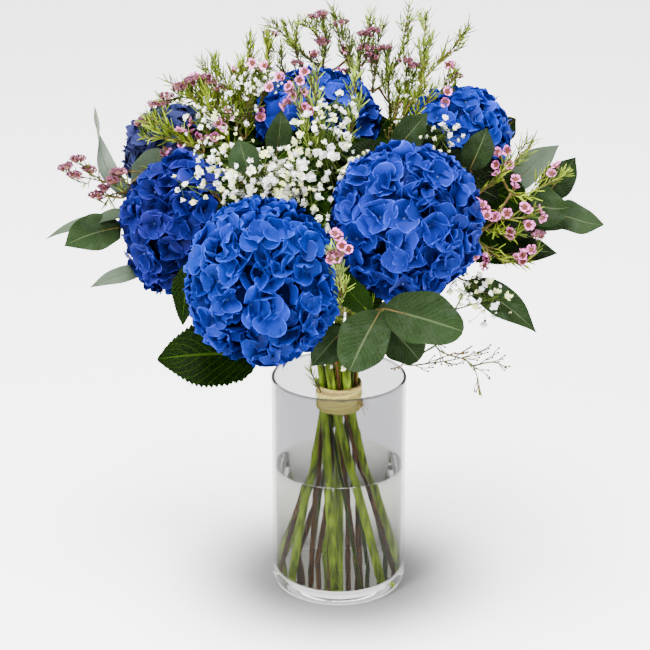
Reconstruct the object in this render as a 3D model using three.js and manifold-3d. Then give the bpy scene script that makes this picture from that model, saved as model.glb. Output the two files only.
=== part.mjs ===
// Hydrangeas in a glass vase: seven blue mopheads with eucalyptus, waxflower and gypsophila,
// tied with raffia and standing in water. Millimetres, +Z up, the front of the bouquet faces -Y.
// The origin is the centre of the vase's flat base.

import * as THREE from 'three';
import { mergeVertices } from 'three/addons/utils/BufferGeometryUtils.js';
import { ConvexHull } from 'three/addons/math/ConvexHull.js';
import Module from 'manifold-3d';

const wasm = await Module();
wasm.setup();

// Driving dimensions
const GAP = 0.3; // left between pieces that touch
const VASE_RADIUS = 60;
const VASE_HEIGHT = 200;
const GLASS_WALL = 2.8;
const GLASS_FLOOR = 11;
const OUTER_ROUND = 8;
const INNER_ROUND = 6;
const RIM_ROUND = 0.9;
const WATER_TOP = 114;
const VASE_SIDES = 31; // an odd count, so that no edge of the base crosses its centre

const TIE_HEIGHT = 181; // middle of the raffia band
const TIE_WIDTH = 24;
const TIE_INNER = 18.75;
const TIE_FLARE = 0.5;
const RAFFIA_THICKNESS = 1.0;
const RAFFIA_WRAPS = 3;
const TIE_SIDES = 18;
const KNOT_RADII = [3.2, 3.6, 4.4];
const KNOT_TAILS = [[8, -5, 9], [10, -2, 3], [6, -6, -10], [9, 1, -6]]; // reach from the knot
const TAIL_RADII = [0.9, 0.8, 0.5];

// Stems cross the tie in three rings and spread like a twisted sheaf above and below it. Below it
// they are straight, which takes a turn of 1.
const RING_RADIUS = { middle: 0, inner: 7.05, outer: 14.1 };
const RING_SLOTS = { middle: 1, inner: 6, outer: 13 };
const WAIST_LENGTH = 54.4; // height over which the sheaf has opened by a factor of 1.41
const SHEAF_TURN = { below: 1, above: 0.43 };
const SHEAF_LEVELS = [WATER_TOP + 2, 150, TIE_HEIGHT, 205, 228];
const SHEAF_LEAD = 12; // straight run above the sheaf before a stem bends its own way
const STEM_FOOT = GLASS_FLOOR + GAP;
const BORE_CLEARANCE = 1.8 * GAP; // round a stem in the water, past a bore's flat sides

const HYDRANGEA_STEM = 3.8;
const EUCALYPTUS_STEM = 2.5;
const WAXFLOWER_STEM = 2.2;
const GYPSOPHILA_STEM = 1.7;
const LIMB_RADIUS = 1.5;
const TWIG_RADIUS = 0.8;
const HYDRANGEA_STEM_SIDES = 6;
const TRUNK_SIDES = 4;
const TWIG_SIDES = 3;
const STEM_STEPS = 1.6; // steps of a stem's curve for each of its points
const HEAD_CLEARANCE = 3; // between a twig's or leaf's middle and a flower head

const FLORETS_PER_HEAD = 24;
const FLORET_SPREAD = 0.34; // angle from a floret's eye to a sepal's tip, in radians
const NOTCH_SPREAD = 0.48 * FLORET_SPREAD; // to the notch between two sepals
const FLORET_HEIGHTS = { eye: 0.93, tip: 1, notch: 0.84 }; // shares of the head's radius
const FLORET_LIFT = 0.03; // the share by which florets differ in height
const FLORET_REACH = 1.78; // share of the head's height that florets cover, of 2 in all
const CORNER_SPACING = 0.06; // least angle between two corners of a head
const STEM_HOLLOW = 0.52; // share of a head's radius left under it, where the stem ends
const STEM_CAP_RADIUS = 12;
const STEM_CAP_SIDES = 6;
const BARE_ANGLE = 0.55; // round the stem a head carries no florets
const STEM_AXIS_RISE = 110; // how steeply the stems enter the heads
const STEM_END = { length: 40, narrowing: 0.6 }; // straight end under a head

const LEAF_THICKNESS = 0.8;
const LEAF_ARCH = 0.12; // height of the midrib's bow, as a share of the length
const LEAF_CUP = 0.18; // rise of the edges, as a share of their distance from the midrib
const LEAF_STALK_HALF = 0.9;
const FOLDED_WIDTH = 23; // wider leaves are folded along their midrib

const WAX_BLOOM = { radius: 6, notch: 0.7, cup: 1.3, depth: 3, crown: 1, petals: 5 };
const WAX_BLOOM_STALK = 8; // the shortest of three lengths, 2 mm apart
const BLOOM_SHOOTS = { count: 3, from: 0.5, spread: 0.6 }; // from the middle of a twig to its tip
const NEEDLE_SHOOTS = { count: 3, from: 0.1, spread: 0.5 };
const NEEDLE = { length: 12, radius: 0.7 };
const GYPSOPHILA_FLORET = { radius: 3.2, neck: 4.2, stalk: 0.6 };
const CLOUD_TWIG_RADIUS = 1;

// Flower heads: middle and half-sizes, with the ring and slot of the stem at the tie
const HEADS = [
  { name: 'front_left', middle: [-64, -84, 315], half: [61, 56, 70], ring: 'outer', slot: 9 },
  { name: 'front_right', middle: [56, -62, 362], half: [64, 58, 65], ring: 'outer', slot: 11 },
  { name: 'left', middle: [-135, 14, 333], half: [53, 50, 62], ring: 'outer', slot: 7 },
  { name: 'back_left', middle: [-151, 102, 374], half: [41, 41, 42], ring: 'outer', slot: 5 },
  { name: 'top', middle: [-20, 62, 418], half: [54, 50, 46], ring: 'middle', slot: 0 },
  { name: 'right', middle: [104, 46, 408], half: [47, 46, 43], ring: 'outer', slot: 1 },
  { name: 'back', middle: [18, 130, 330], half: [56, 52, 52], ring: 'outer', slot: 3 },
];

// Serrated leaves on the hydrangea stems: where the blade starts, its tip, its width and the
// way its upper face looks
const HYDRANGEA_LEAVES = {
  front_left: [
    { base: [-74, -58, 240], tip: [-151, -62, 238], width: 50, face: [-0.1, -0.6, 0.8] },
  ],
  front_right: [
    { base: [30, -84, 292], tip: [4, -101, 336], width: 22, face: [-0.2, -0.9, 0.3] },
  ],
  left: [
    {
      base: [-112, -44, 314], tip: [-135, -56, 272], width: 22, face: [-0.7, -0.7, 0.1],
      from: [-76, 8, 286],
    },
    { base: [-84, 42, 262], tip: [-146, 86, 258], width: 44, face: [-0.2, 0.3, 0.9] },
  ],
  back_left: [
    { base: [-96, 92, 318], tip: [-112, 158, 322], width: 42, face: [-0.1, 0.5, 0.8] },
  ],
  top: [],
  right: [
    { base: [74, 56, 330], tip: [132, 84, 322], width: 40, face: [0.4, 0.2, 0.8] },
  ],
  back: [
    { base: [-8, 92, 262], tip: [-46, 152, 254], width: 50, face: [-0.2, 0.4, 0.8] },
    { base: [30, 86, 256], tip: [74, 146, 250], width: 48, face: [0.3, 0.4, 0.8] },
  ],
};

// Leafy stems: the trunk above the tie, side limbs from the nearest wood, and leaves
const EUCALYPTUS = [
  {
    name: 'left', ring: 'outer', slot: 6,
    trunk: [[-48, 36, 258], [-98, 66, 296], [-150, 72, 318], [-190, 44, 332], [-204, 24, 362]],
    limbs: [[[-180, 58, 344], [-176, 52, 364]]],
    leaves: [
      { base: [-200, 22, 356], tip: [-211, 26, 436], width: 18, face: [0.5, -0.8, 0.3] },
      { base: [-196, 38, 330], tip: [-259, 30, 316], width: 14, face: [-0.1, -0.5, 0.8] },
      { base: [-188, 22, 330], tip: [-237, -8, 322], width: 36, face: [-0.2, -0.8, 0.6] },
      { base: [-200, 34, 340], tip: [-226, 44, 364], width: 20, face: [-0.4, -0.6, 0.6] },
      { base: [-186, 12, 304], tip: [-216, -12, 286], width: 14, face: [-0.2, -0.6, 0.8] },
      { base: [-176, 50, 368], tip: [-160, 44, 402], width: 28, face: [-0.3, -0.9, 0.4] },
      { base: [-158, 84, 322], tip: [-196, 112, 318], width: 26, face: [-0.4, 0.4, 0.8] },
    ],
  },
  {
    name: 'front', ring: 'outer', slot: 10,
    trunk: [[3, -42, 252], [16, -68, 276], [30, -92, 294]],
    limbs: [],
    leaves: [
      { base: [37, -103, 297], tip: [107, -122, 280], width: 46, face: [0.1, -0.8, 0.6] },
      { base: [33, -101, 296], tip: [8, -126, 253], width: 34, face: [-0.2, -0.9, 0.4] },
      { base: [38, -86, 280], tip: [68, -98, 252], width: 26, face: [0.3, -0.7, 0.6] },
      { base: [10, -60, 262], tip: [-24, -78, 240], width: 22, face: [-0.2, -0.7, 0.7] },
    ],
  },
  {
    name: 'right', ring: 'outer', slot: 0,
    trunk: [[52, -6, 262], [88, -2, 300], [118, 6, 332], [150, 14, 348], [176, 14, 352]],
    limbs: [
      [[126, -2, 358], [118, -14, 384]],
      [[104, -18, 296], [116, -30, 298]],
    ],
    leaves: [
      { base: [118, -14, 386], tip: [121, -12, 430], width: 22, face: [0.1, -0.9, 0.4] },
      { base: [146, 20, 362], tip: [189, 18, 405], width: 24, face: [-0.2, -0.8, 0.6] },
      { base: [178, 14, 358], tip: [201, 8, 396], width: 20, face: [0.3, -0.8, 0.5] },
      { base: [164, 8, 344], tip: [202, -4, 362], width: 30, face: [0.1, -0.8, 0.6] },
      { base: [184, 14, 344], tip: [228, 8, 336], width: 20, face: [0.1, -0.5, 0.8] },
      { base: [136, -6, 312], tip: [187, -18, 319], width: 24, face: [0.1, -0.7, 0.7] },
      { base: [128, -2, 336], tip: [168, -14, 334], width: 24, face: [0.1, -0.6, 0.8] },
      { base: [118, -34, 294], tip: [167, -62, 262], width: 26, face: [0.3, -0.7, 0.7] },
      { base: [112, -6, 366], tip: [148, 0, 392], width: 18, face: [0.2, -0.8, 0.6] },
    ],
  },
  {
    name: 'top', ring: 'inner', slot: 3,
    trunk: [[-14, 2, 270], [-26, 0, 320], [-42, 0, 368], [-54, 4, 396]],
    limbs: [[[2, -2, 356], [22, -2, 388], [44, 4, 404]]],
    leaves: [
      { base: [-54, 4, 400], tip: [-49, 0, 444], width: 22, face: [0.1, -0.9, 0.3] },
      { base: [-66, 0, 382], tip: [-83, 5, 414], width: 22, face: [-0.2, -0.9, 0.4] },
      { base: [30, -4, 398], tip: [4, -8, 412], width: 18, face: [0.1, -0.7, 0.7] },
      { base: [50, 4, 410], tip: [75, -4, 444], width: 22, face: [-0.1, -0.9, 0.4] },
    ],
  },
  {
    name: 'back', ring: 'outer', slot: 2,
    trunk: [[44, 52, 262], [84, 88, 300], [112, 104, 340], [124, 104, 374]],
    limbs: [],
    leaves: [
      { base: [94, 96, 308], tip: [132, 134, 300], width: 28, face: [0.3, 0.3, 0.9] },
      { base: [114, 106, 342], tip: [160, 112, 346], width: 26, face: [0.4, 0.1, 0.9] },
      { base: [112, 112, 344], tip: [114, 154, 364], width: 26, face: [0.1, 0.3, 0.9] },
      { base: [126, 104, 378], tip: [158, 88, 410], width: 24, face: [0.8, 0.2, 0.6] },
      { base: [124, 108, 382], tip: [104, 122, 422], width: 22, face: [0.3, 0.9, 0.3] },
      { base: [70, 82, 284], tip: [92, 118, 262], width: 24, face: [0.5, 0.4, 0.8] },
    ],
  },
];

// Waxflower: each limb is a needled twig with pink cups round its tip
const WAXFLOWER = [
  {
    name: 'left', ring: 'outer', slot: 4,
    trunk: [[-30, 52, 270], [-60, 80, 320], [-86, 86, 364], [-98, 74, 404]],
    limbs: [
      [[-124, 54, 410], [-164, 34, 406], [-204, 4, 400], [-232, -4, 394]],
      [[-118, 62, 436], [-146, 56, 446], [-172, 44, 424]],
      [[-106, 60, 440], [-110, 44, 472]],
      [[-104, 112, 408], [-122, 146, 424]],
    ],
  },
  {
    name: 'top', ring: 'inner', slot: 1,
    trunk: [[10, 30, 272], [24, 62, 322], [34, 98, 384], [20, 112, 430], [2, 104, 474], [-6, 84, 512]],
    limbs: [
      [[-8, 108, 450], [-38, 92, 474], [-58, 72, 502]],
      [[-12, 104, 466], [-30, 80, 502]],
      [[22, 108, 456], [28, 82, 508]],
      [[36, 108, 434], [54, 100, 466], [61, 80, 514]],
      [[48, 104, 420], [72, 92, 448], [77, 82, 480]],
    ],
  },
  {
    name: 'right', ring: 'inner', slot: 0,
    trunk: [[26, -8, 268], [58, 0, 318], [84, -6, 352], [108, -20, 364]],
    limbs: [
      [[136, -16, 388], [162, -10, 412]],
      [[148, -22, 372], [188, -16, 386]],
      [[134, -34, 356], [160, -32, 356]],
      [[116, -38, 338], [154, -38, 314]],
      [[56, 20, 372], [52, 28, 410], [74, 40, 458], [98, 38, 486], [110, 26, 508]],
    ],
  },
  {
    name: 'front', ring: 'inner', slot: 4,
    trunk: [[-10, -14, 272], [-14, -18, 330], [-20, -16, 390], [-30, -4, 432], [-36, 4, 458]],
    limbs: [[[-4, -38, 270], [2, -72, 286], [0, -100, 314], [-3, -121, 362]]],
  },
];

// Gypsophila: clouds of small florets round the ends of branching limbs
const GYPSOPHILA = [
  {
    name: 'left', ring: 'outer', slot: 8,
    trunk: [[-42, -10, 262], [-78, -14, 306], [-92, -20, 352]],
    limbs: [[[-100, -30, 376]], [[-78, -28, 380]]],
    clouds: [
      { middle: [-122, -46, 386], half: [24, 18, 18], count: 8 },
      { middle: [-70, -42, 398], half: [26, 18, 18], count: 9 },
    ],
  },
  {
    name: 'middle', ring: 'inner', slot: 5,
    trunk: [[4, -16, 272], [4, -22, 330], [-2, -26, 376], [-8, -28, 396]],
    limbs: [[[34, 12, 376], [46, 20, 414], [58, 26, 440]], [[78, 0, 408]]],
    clouds: [
      { middle: [-12, -32, 412], half: [26, 16, 26], count: 8 },
      { middle: [-42, -50, 392], half: [20, 16, 14], count: 4 },
      { middle: [-2, -8, 440], half: [18, 14, 14], count: 5 },
      { middle: [60, 30, 454], half: [14, 12, 14], count: 4 },
      { middle: [88, -8, 422], half: [16, 10, 14], count: 4 },
    ],
  },
  {
    name: 'top', ring: 'inner', slot: 2,
    trunk: [[-14, 30, 270], [-44, 50, 322], [-74, 48, 372], [-86, 38, 412]],
    limbs: [[[-76, 32, 440]], [[-66, 84, 384], [-70, 108, 396]]],
    clouds: [
      { middle: [-120, 34, 426], half: [18, 14, 18], count: 5 },
      { middle: [-66, 30, 456], half: [26, 16, 14], count: 6 },
      { middle: [-72, 122, 404], half: [18, 18, 16], count: 5 },
    ],
  },
  {
    name: 'right', ring: 'outer', slot: 12,
    trunk: [[40, -34, 250], [72, -46, 266], [98, -52, 280]],
    limbs: [
      [[84, -58, 246], [112, -60, 234], [122, -62, 204]],
      [[12, -42, 236]],
    ],
    clouds: [
      { middle: [113, -52, 288], half: [22, 14, 14], count: 5 },
      { middle: [0, -48, 228], half: [14, 6, 6], count: 3 },
      { middle: [120, -66, 214], half: [12, 6, 18], count: 3 },
    ],
  },
];

// Outlines: share of the length, then share of the half-width
const EUCALYPTUS_OUTLINE = [[0, 0.12], [0.34, 0.96], [0.72, 0.84], [1, 0]];
const HYDRANGEA_OUTLINE = [
  [0, 0.08], [0.18, 0.8], [0.28, 0.72], [0.46, 1], [0.58, 0.8], [0.72, 0.72], [0.84, 0.42], [1, 0],
];

// Colours of the bouquet
const finish = (color, roughness, metalness = 0) =>
  new THREE.MeshStandardMaterial({ color, roughness, metalness });
const glass = finish('#dfe9e8', 0.05);
const clearWater = finish('#c9dcd8', 0.05);
const raffia = finish('#d9c48f', 0.8);
const bluePetals = finish('#4a5fd0', 0.7);
const greenStem = finish('#6f8f3c', 0.6);
const greyLeaf = finish('#6f8f7a', 0.6);
const waxGreen = finish('#b98aa0', 0.6);
const creamFlower = finish('#efefe0', 0.8);

const UP = new THREE.Vector3(0, 0, 1);
const SLANT = new THREE.Vector3(0.31, 0.52, 0.79); // lies along no stem or floret
const GOLDEN_ANGLE = Math.PI * (3 - Math.sqrt(5));
const vector = (values) => new THREE.Vector3(...values);

// Repeatable draws between 0 and 1 from a whole-number seed.
function draws(seed) {
  const modulus = 2147483647;
  let state = seed;
  return () => {
    state = (state * 48271) % modulus;
    return state / modulus;
  };
}

// Closed solid from corner points and triangles; triangles with a repeated corner are left out.
function solid(corners, triangles) {
  const kept = triangles.filter(([a, b, c]) => a !== b && b !== c && c !== a);
  return new wasm.Manifold(new wasm.Mesh({
    numProp: 3,
    vertProperties: Float32Array.from(corners.flatMap((corner) => corner.toArray())),
    triVerts: Uint32Array.from(kept.flat()),
  }));
}

function solidOfGeometry(geometry) {
  geometry.deleteAttribute('normal');
  geometry.deleteAttribute('uv');
  const merged = mergeVertices(geometry);
  const places = merged.attributes.position;
  const corners = [];
  for (let i = 0; i < places.count; i += 1) {
    corners.push(new THREE.Vector3().fromBufferAttribute(places, i));
  }
  const triangles = [];
  for (let i = 0; i < merged.index.count; i += 3) {
    triangles.push([merged.index.getX(i), merged.index.getX(i + 1), merged.index.getX(i + 2)]);
  }
  return solid(corners, triangles);
}

function meshOf(name, body, material) {
  const { vertProperties, triVerts } = body.getMesh();
  const geometry = new THREE.BufferGeometry();
  geometry.setAttribute('position', new THREE.BufferAttribute(vertProperties, 3));
  geometry.setIndex(new THREE.BufferAttribute(triVerts, 1));
  geometry.computeVertexNormals();
  const mesh = new THREE.Mesh(geometry, material);
  mesh.name = name;
  return mesh;
}

// Profile of radius and height pairs turned about the vertical axis.
function turned(profile, sides) {
  const points = profile.map(([radius, height]) => new THREE.Vector2(radius, height));
  const geometry = new THREE.LatheGeometry(points, sides);
  return solidOfGeometry(geometry.rotateX(Math.PI / 2));
}

// Tube through a path with a radius at each point; a radius of 0 closes it in a point.
function tube(path, radii, sides, firstAxis = null) {
  const corners = [];
  const rings = [];
  let across = new THREE.Vector3(1, 0, 0);
  path.forEach((place, i) => {
    const ahead = path[Math.min(i + 1, path.length - 1)];
    const behind = path[Math.max(i - 1, 0)];
    const axis = ahead.clone().sub(behind).normalize();
    if (i === 0 && firstAxis) {
      axis.copy(firstAxis);
    }
    if (Math.abs(across.dot(axis)) > 0.95) {
      across = new THREE.Vector3(0, 1, 0);
    }
    across = across.clone().addScaledVector(axis, -across.dot(axis)).normalize();
    const other = axis.clone().cross(across);
    const ring = [];
    for (let k = 0; k < (radii[i] === 0 ? 1 : sides); k += 1) {
      const angle = (2 * Math.PI * k) / sides;
      ring.push(corners.length);
      corners.push(place.clone()
        .addScaledVector(across, radii[i] * Math.cos(angle))
        .addScaledVector(other, radii[i] * Math.sin(angle)));
    }
    rings.push(ring);
  });
  const triangles = [];
  const corner = (ring, k) => ring[k % ring.length];
  for (let i = 0; i + 1 < rings.length; i += 1) {
    for (let k = 0; k < sides; k += 1) {
      const [low, high] = [rings[i], rings[i + 1]];
      triangles.push([corner(low, k), corner(low, k + 1), corner(high, k + 1)]);
      triangles.push([corner(low, k), corner(high, k + 1), corner(high, k)]);
    }
  }
  const [first, last] = [rings[0], rings[rings.length - 1]];
  for (let k = 1; k + 1 < sides; k += 1) {
    triangles.push([corner(first, 0), corner(first, k + 1), corner(first, k)]);
    triangles.push([corner(last, 0), corner(last, k), corner(last, k + 1)]);
  }
  return solid(corners, triangles);
}

// Where a stem of the sheaf is at one height.
function sheafPoint({ ring, slot }, height) {
  const rise = (height - TIE_HEIGHT) / WAIST_LENGTH;
  const radius = RING_RADIUS[ring] * Math.hypot(1, rise);
  const turn = rise < 0 ? SHEAF_TURN.below : SHEAF_TURN.above;
  const angle = (2 * Math.PI * slot) / RING_SLOTS[ring] - turn * Math.atan(rise);
  return new THREE.Vector3(radius * Math.cos(angle), radius * Math.sin(angle), height);
}

// A point inside a flower head's clearance is moved straight out to it.
function clearOfHeads(point, clearance) {
  const moved = point.clone();
  HEADS.forEach((head) => {
    const middle = vector(head.middle);
    const half = vector(head.half).addScalar(clearance);
    const offset = moved.clone().sub(middle).divide(half);
    if (offset.length() < 1) {
      moved.copy(offset.normalize().multiply(half).add(middle));
    }
  });
  return moved;
}

// Smooth way through hand-set points, bent round the flower heads.
function way(points, stepsPerSpan) {
  const curve = new THREE.CatmullRomCurve3(points);
  const steps = stepsPerSpan * (points.length - 1);
  return curve.getPoints(steps).map((point) => clearOfHeads(point, HEAD_CLEARANCE));
}

function nearestOn(ways, target) {
  const points = ways.flat();
  return points.reduce((best, point) =>
    (point.distanceTo(target) < best.distanceTo(target) ? point : best));
}

function tapered(path, from, to) {
  return path.map((place, i) => from + ((to - from) * i) / (path.length - 1));
}

// Way of a stem from the vase's floor through the tie to its own trunk points.
function stemWay(plant, trunk, bendsRoundHeads = true) {
  const sheaf = [STEM_FOOT, ...SHEAF_LEVELS].map((height) => sheafPoint(plant, height));
  const start = sheaf[sheaf.length - 1];
  const before = start.clone().sub(sheaf[sheaf.length - 2]).normalize().multiplyScalar(SHEAF_LEAD);
  const curve = new THREE.CatmullRomCurve3([start, start.clone().add(before), ...trunk]);
  const upper = curve.getPoints(Math.ceil(STEM_STEPS * (trunk.length + 1))).slice(1);
  return [...sheaf, ...upper.map((point) => (
    bendsRoundHeads ? clearOfHeads(point, HEAD_CLEARANCE) : point))];
}

// Blade with a stalk: stations across a curved midrib, both faces split alike.
function leaf(root, { base, tip, width, face }, outline) {
  const [start, end, facing] = [vector(base), vector(tip), vector(face).normalize()];
  const along = end.clone().sub(start);
  const arch = along.length() * LEAF_ARCH;
  const stations = [{ middle: root, half: LEAF_STALK_HALF }];
  outline.forEach(([share, breadth]) => {
    const middle = start.clone().addScaledVector(along, share)
      .addScaledVector(facing, arch * 4 * share * (1 - share));
    stations.push({ middle, half: (breadth * width) / 2 });
  });
  const corners = [];
  const upper = [];
  const lower = [];
  stations.forEach(({ middle, half }, i) => {
    const ahead = stations[Math.min(i + 1, stations.length - 1)].middle;
    const behind = stations[Math.max(i - 1, 1)].middle;
    const axis = (i === 0 ? ahead.clone().sub(middle) : ahead.clone().sub(behind)).normalize();
    const side = facing.clone().cross(axis).normalize();
    const across = width < FOLDED_WIDTH ? [half, -half] : [half, 0, -half];
    const offsets = half === 0 ? [0] : across;
    upper.push(offsets.map((offset, k) => corners.length + k));
    lower.push(offsets.map((offset, k) => corners.length + offsets.length + k));
    const places = offsets.map((offset) => {
      const place = middle.clone().addScaledVector(side, offset)
        .addScaledVector(facing, Math.abs(offset) * LEAF_CUP);
      return i === 0 ? place : clearOfHeads(place, HEAD_CLEARANCE);
    });
    [1, -1].forEach((sign) => places.forEach((place) => {
      corners.push(place.clone().addScaledVector(facing, (sign * LEAF_THICKNESS) / 2));
    }));
  });
  const triangles = [];
  const corner = (row, k) => row[Math.min(k, row.length - 1)];
  const quad = (a, b, c, d) => triangles.push([a, b, c], [a, c, d]);
  const far = upper[0].length - 1;
  for (let k = 0; k < far; k += 1) {
    quad(upper[0][k], lower[0][k], lower[0][k + 1], upper[0][k + 1]);
  }
  for (let i = 0; i + 1 < stations.length; i += 1) {
    const [top, topNext, under, underNext] = [upper[i], upper[i + 1], lower[i], lower[i + 1]];
    for (let k = 0; k < far; k += 1) {
      const [a, b] = [corner(top, k), corner(top, k + 1)];
      const [c, d] = [corner(topNext, k + 1), corner(topNext, k)];
      triangles.push([b, c, d], [b, d, a]);
      const [e, f] = [corner(under, k), corner(under, k + 1)];
      const [g, h] = [corner(underNext, k + 1), corner(underNext, k)];
      triangles.push([f, h, g], [f, e, h]);
    }
    quad(corner(top, 0), corner(topNext, 0), corner(underNext, 0), corner(under, 0));
    quad(corner(top, far), corner(under, far), corner(underNext, far), corner(topNext, far));
  }
  return solid(corners, triangles);
}

// Flower head: florets of four raised sepals, spread evenly round a smaller core.
function flowerHead(head, seed) {
  const draw = draws(seed);
  const middle = vector(head.middle);
  const half = vector(head.half);
  const { axis: stemAxis, cap } = headStem(head);
  const down = cap.clone().sub(middle).divide(half).normalize();
  const found = [];
  const add = (direction, height) => {
    const unit = direction.clone().normalize();
    const isClear = found.every((other) => other.unit.angleTo(unit) > CORNER_SPACING);
    if (isClear && unit.angleTo(down) > BARE_ANGLE) {
      found.push({ unit, corner: unit.clone().multiply(half).multiplyScalar(height).add(middle) });
    }
  };
  for (let i = 0; i < FLORETS_PER_HEAD; i += 1) {
    const level = 1 - (FLORET_REACH * (i + 0.5)) / FLORETS_PER_HEAD;
    const ring = Math.sqrt(1 - level * level);
    const angle = i * GOLDEN_ANGLE;
    const eye = new THREE.Vector3(ring * Math.cos(angle), ring * Math.sin(angle), level);
    eye.applyQuaternion(new THREE.Quaternion().setFromUnitVectors(UP, stemAxis));
    const first = SLANT.clone().cross(eye).normalize();
    const second = eye.clone().cross(first);
    const turn = draw() * Math.PI;
    const lift = 1 - FLORET_LIFT * draw();
    add(eye, FLORET_HEIGHTS.eye * lift);
    for (let k = 0; k < 8; k += 1) {
      const around = turn + (k * Math.PI) / 4;
      const isTip = k % 2 === 0;
      const reach = Math.tan(isTip ? FLORET_SPREAD : NOTCH_SPREAD);
      const direction = eye.clone()
        .addScaledVector(first, reach * Math.cos(around))
        .addScaledVector(second, reach * Math.sin(around));
      add(direction, (isTip ? FLORET_HEIGHTS.tip : FLORET_HEIGHTS.notch) * lift);
    }
  }
  const side = new THREE.Vector3(1, 0, 0).cross(stemAxis).normalize();
  for (let k = 0; k < STEM_CAP_SIDES; k += 1) {
    side.applyAxisAngle(stemAxis, (2 * Math.PI) / STEM_CAP_SIDES);
    const corner = cap.clone().addScaledVector(side, STEM_CAP_RADIUS);
    found.push({ unit: corner.clone().sub(middle).divide(half).normalize(), corner });
  }
  const corners = found.map(({ corner }) => corner);
  const hull = new ConvexHull().setFromPoints(found.map(({ unit }) => unit));
  const index = new Map(found.map(({ unit }, i) => [unit, i]));
  const triangles = hull.faces.map(({ edge }) =>
    [edge, edge.next, edge.next.next].map((part) => index.get(part.head().point)));
  return solid(corners, triangles);
}

// The stem's way into a head, the flat spot that it meets there and the stem's own end.
function headStem(head) {
  const middle = vector(head.middle);
  const axis = new THREE.Vector3(middle.x, middle.y, STEM_AXIS_RISE).normalize();
  const reach = STEM_HOLLOW / axis.clone().divide(vector(head.half)).length();
  const cap = middle.clone().addScaledVector(axis, -reach);
  const end = cap.clone().addScaledVector(axis, -1.5 * GAP);
  return { axis, cap, end };
}

function hydrangeaStem(head) {
  const { axis, end } = headStem(head);
  const trunk = [end.clone().addScaledVector(axis, -STEM_END.length), end];
  const path = stemWay(head, trunk, false);
  const leaves = HYDRANGEA_LEAVES[head.name].map((blade) =>
    leaf(nearestOn([path], vector(blade.from ?? blade.base)), blade, HYDRANGEA_OUTLINE));
  const radii = path.map(() => HYDRANGEA_STEM);
  radii[radii.length - 1] *= STEM_END.narrowing;
  return joined([tube(path, radii, HYDRANGEA_STEM_SIDES, UP), ...leaves]);
}

// All bodies in one; scraps that touch nothing are dropped.
function joined(bodies) {
  const pieces = wasm.Manifold.union(bodies).decompose();
  return pieces.reduce((best, piece) => (piece.volume() > best.volume() ? piece : best));
}

function boxesNear(first, second) {
  const [a, b] = [first.boundingBox(), second.boundingBox()];
  return [0, 1, 2].every((k) => a.min[k] < b.max[k] + 1 && b.min[k] < a.max[k] + 1);
}

// Small repeats are set only where they stay clear of every piece placed before.
function isFree(body, placed) {
  return placed.every((other) => !boxesNear(body, other) || body.minGap(other, 1) > GAP);
}

// Trunk and limbs of one plant, each limb rooted on the nearest wood.
function wood(plant, trunkRadius) {
  const trunk = stemWay(plant, plant.trunk.map(vector));
  const ways = [trunk];
  const bodies = [tube(trunk, tapered(trunk, trunkRadius, TWIG_RADIUS), TRUNK_SIDES, UP)];
  plant.limbs.forEach((points) => {
    const root = nearestOn(ways, vector(points[0]));
    const path = way([root, ...points.map(vector)], 2);
    ways.push(path);
    bodies.push(tube(path, tapered(path, LIMB_RADIUS, TWIG_RADIUS), TWIG_SIDES));
  });
  return { trunk, ways, bodies };
}

// A place on a path, by its share of the path's steps, with the way that the path goes there.
function alongPath(path, share) {
  const step = Math.min(Math.floor(share * (path.length - 1)), path.length - 2);
  const rest = share * (path.length - 1) - step;
  const axis = path[step + 1].clone().sub(path[step]).normalize();
  return { root: path[step].clone().lerp(path[step + 1], rest), axis };
}

// Where side shoots leave a twig: even shares along it, turning by the golden angle.
function shoots(path, { count, from, spread }, seed) {
  const draw = draws(seed);
  return Array.from({ length: count }, (unused, i) => {
    const { root, axis } = alongPath(path, from + ((1 - from) * (i + 0.8)) / count);
    const side = SLANT.clone().cross(axis).normalize();
    side.applyAxisAngle(axis, i * GOLDEN_ANGLE + draw());
    return { root, way: axis.multiplyScalar(1 - spread).addScaledVector(side, spread).normalize() };
  });
}

// Five rounded petals round a cup, narrowed to three sides and then to a point in the twig.
function waxBloom(root, direction, length) {
  const first = SLANT.clone().cross(direction).normalize();
  const second = direction.clone().cross(first);
  const spot = (height, reach, angle) => root.clone().addScaledVector(direction, height)
    .addScaledVector(first, reach * Math.cos(angle))
    .addScaledVector(second, reach * Math.sin(angle));
  const corners = [root, root.clone().addScaledVector(direction, length + WAX_BLOOM.crown)];
  const triangles = [];
  const [cup, rim] = [[], []];
  for (let k = 0; k < 3; k += 1) {
    cup.push(corners.length);
    corners.push(spot(length - WAX_BLOOM.depth, WAX_BLOOM.cup, (2 * Math.PI * k) / 3));
  }
  const rimCorners = 2 * WAX_BLOOM.petals;
  for (let k = 0; k < rimCorners; k += 1) {
    rim.push(corners.length);
    const reach = WAX_BLOOM.radius * (k % 2 === 0 ? 1 : WAX_BLOOM.notch);
    corners.push(spot(length, reach, (2 * Math.PI * (k + 0.5)) / rimCorners));
  }
  for (let k = 0; k < 3; k += 1) {
    triangles.push([0, cup[(k + 1) % 3], cup[k]]);
  }
  let low = 0;
  for (let k = 0; k < rimCorners; k += 1) {
    const [here, next] = [rim[k], rim[(k + 1) % rimCorners]];
    triangles.push([1, here, next], [cup[low % 3], next, here]);
    if ((k + 1) * 3 >= (low + 0.5) * rimCorners && low < 3) {
      triangles.push([cup[low % 3], cup[(low + 1) % 3], next]);
      low += 1;
    }
  }
  return solid(corners, triangles);
}

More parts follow.
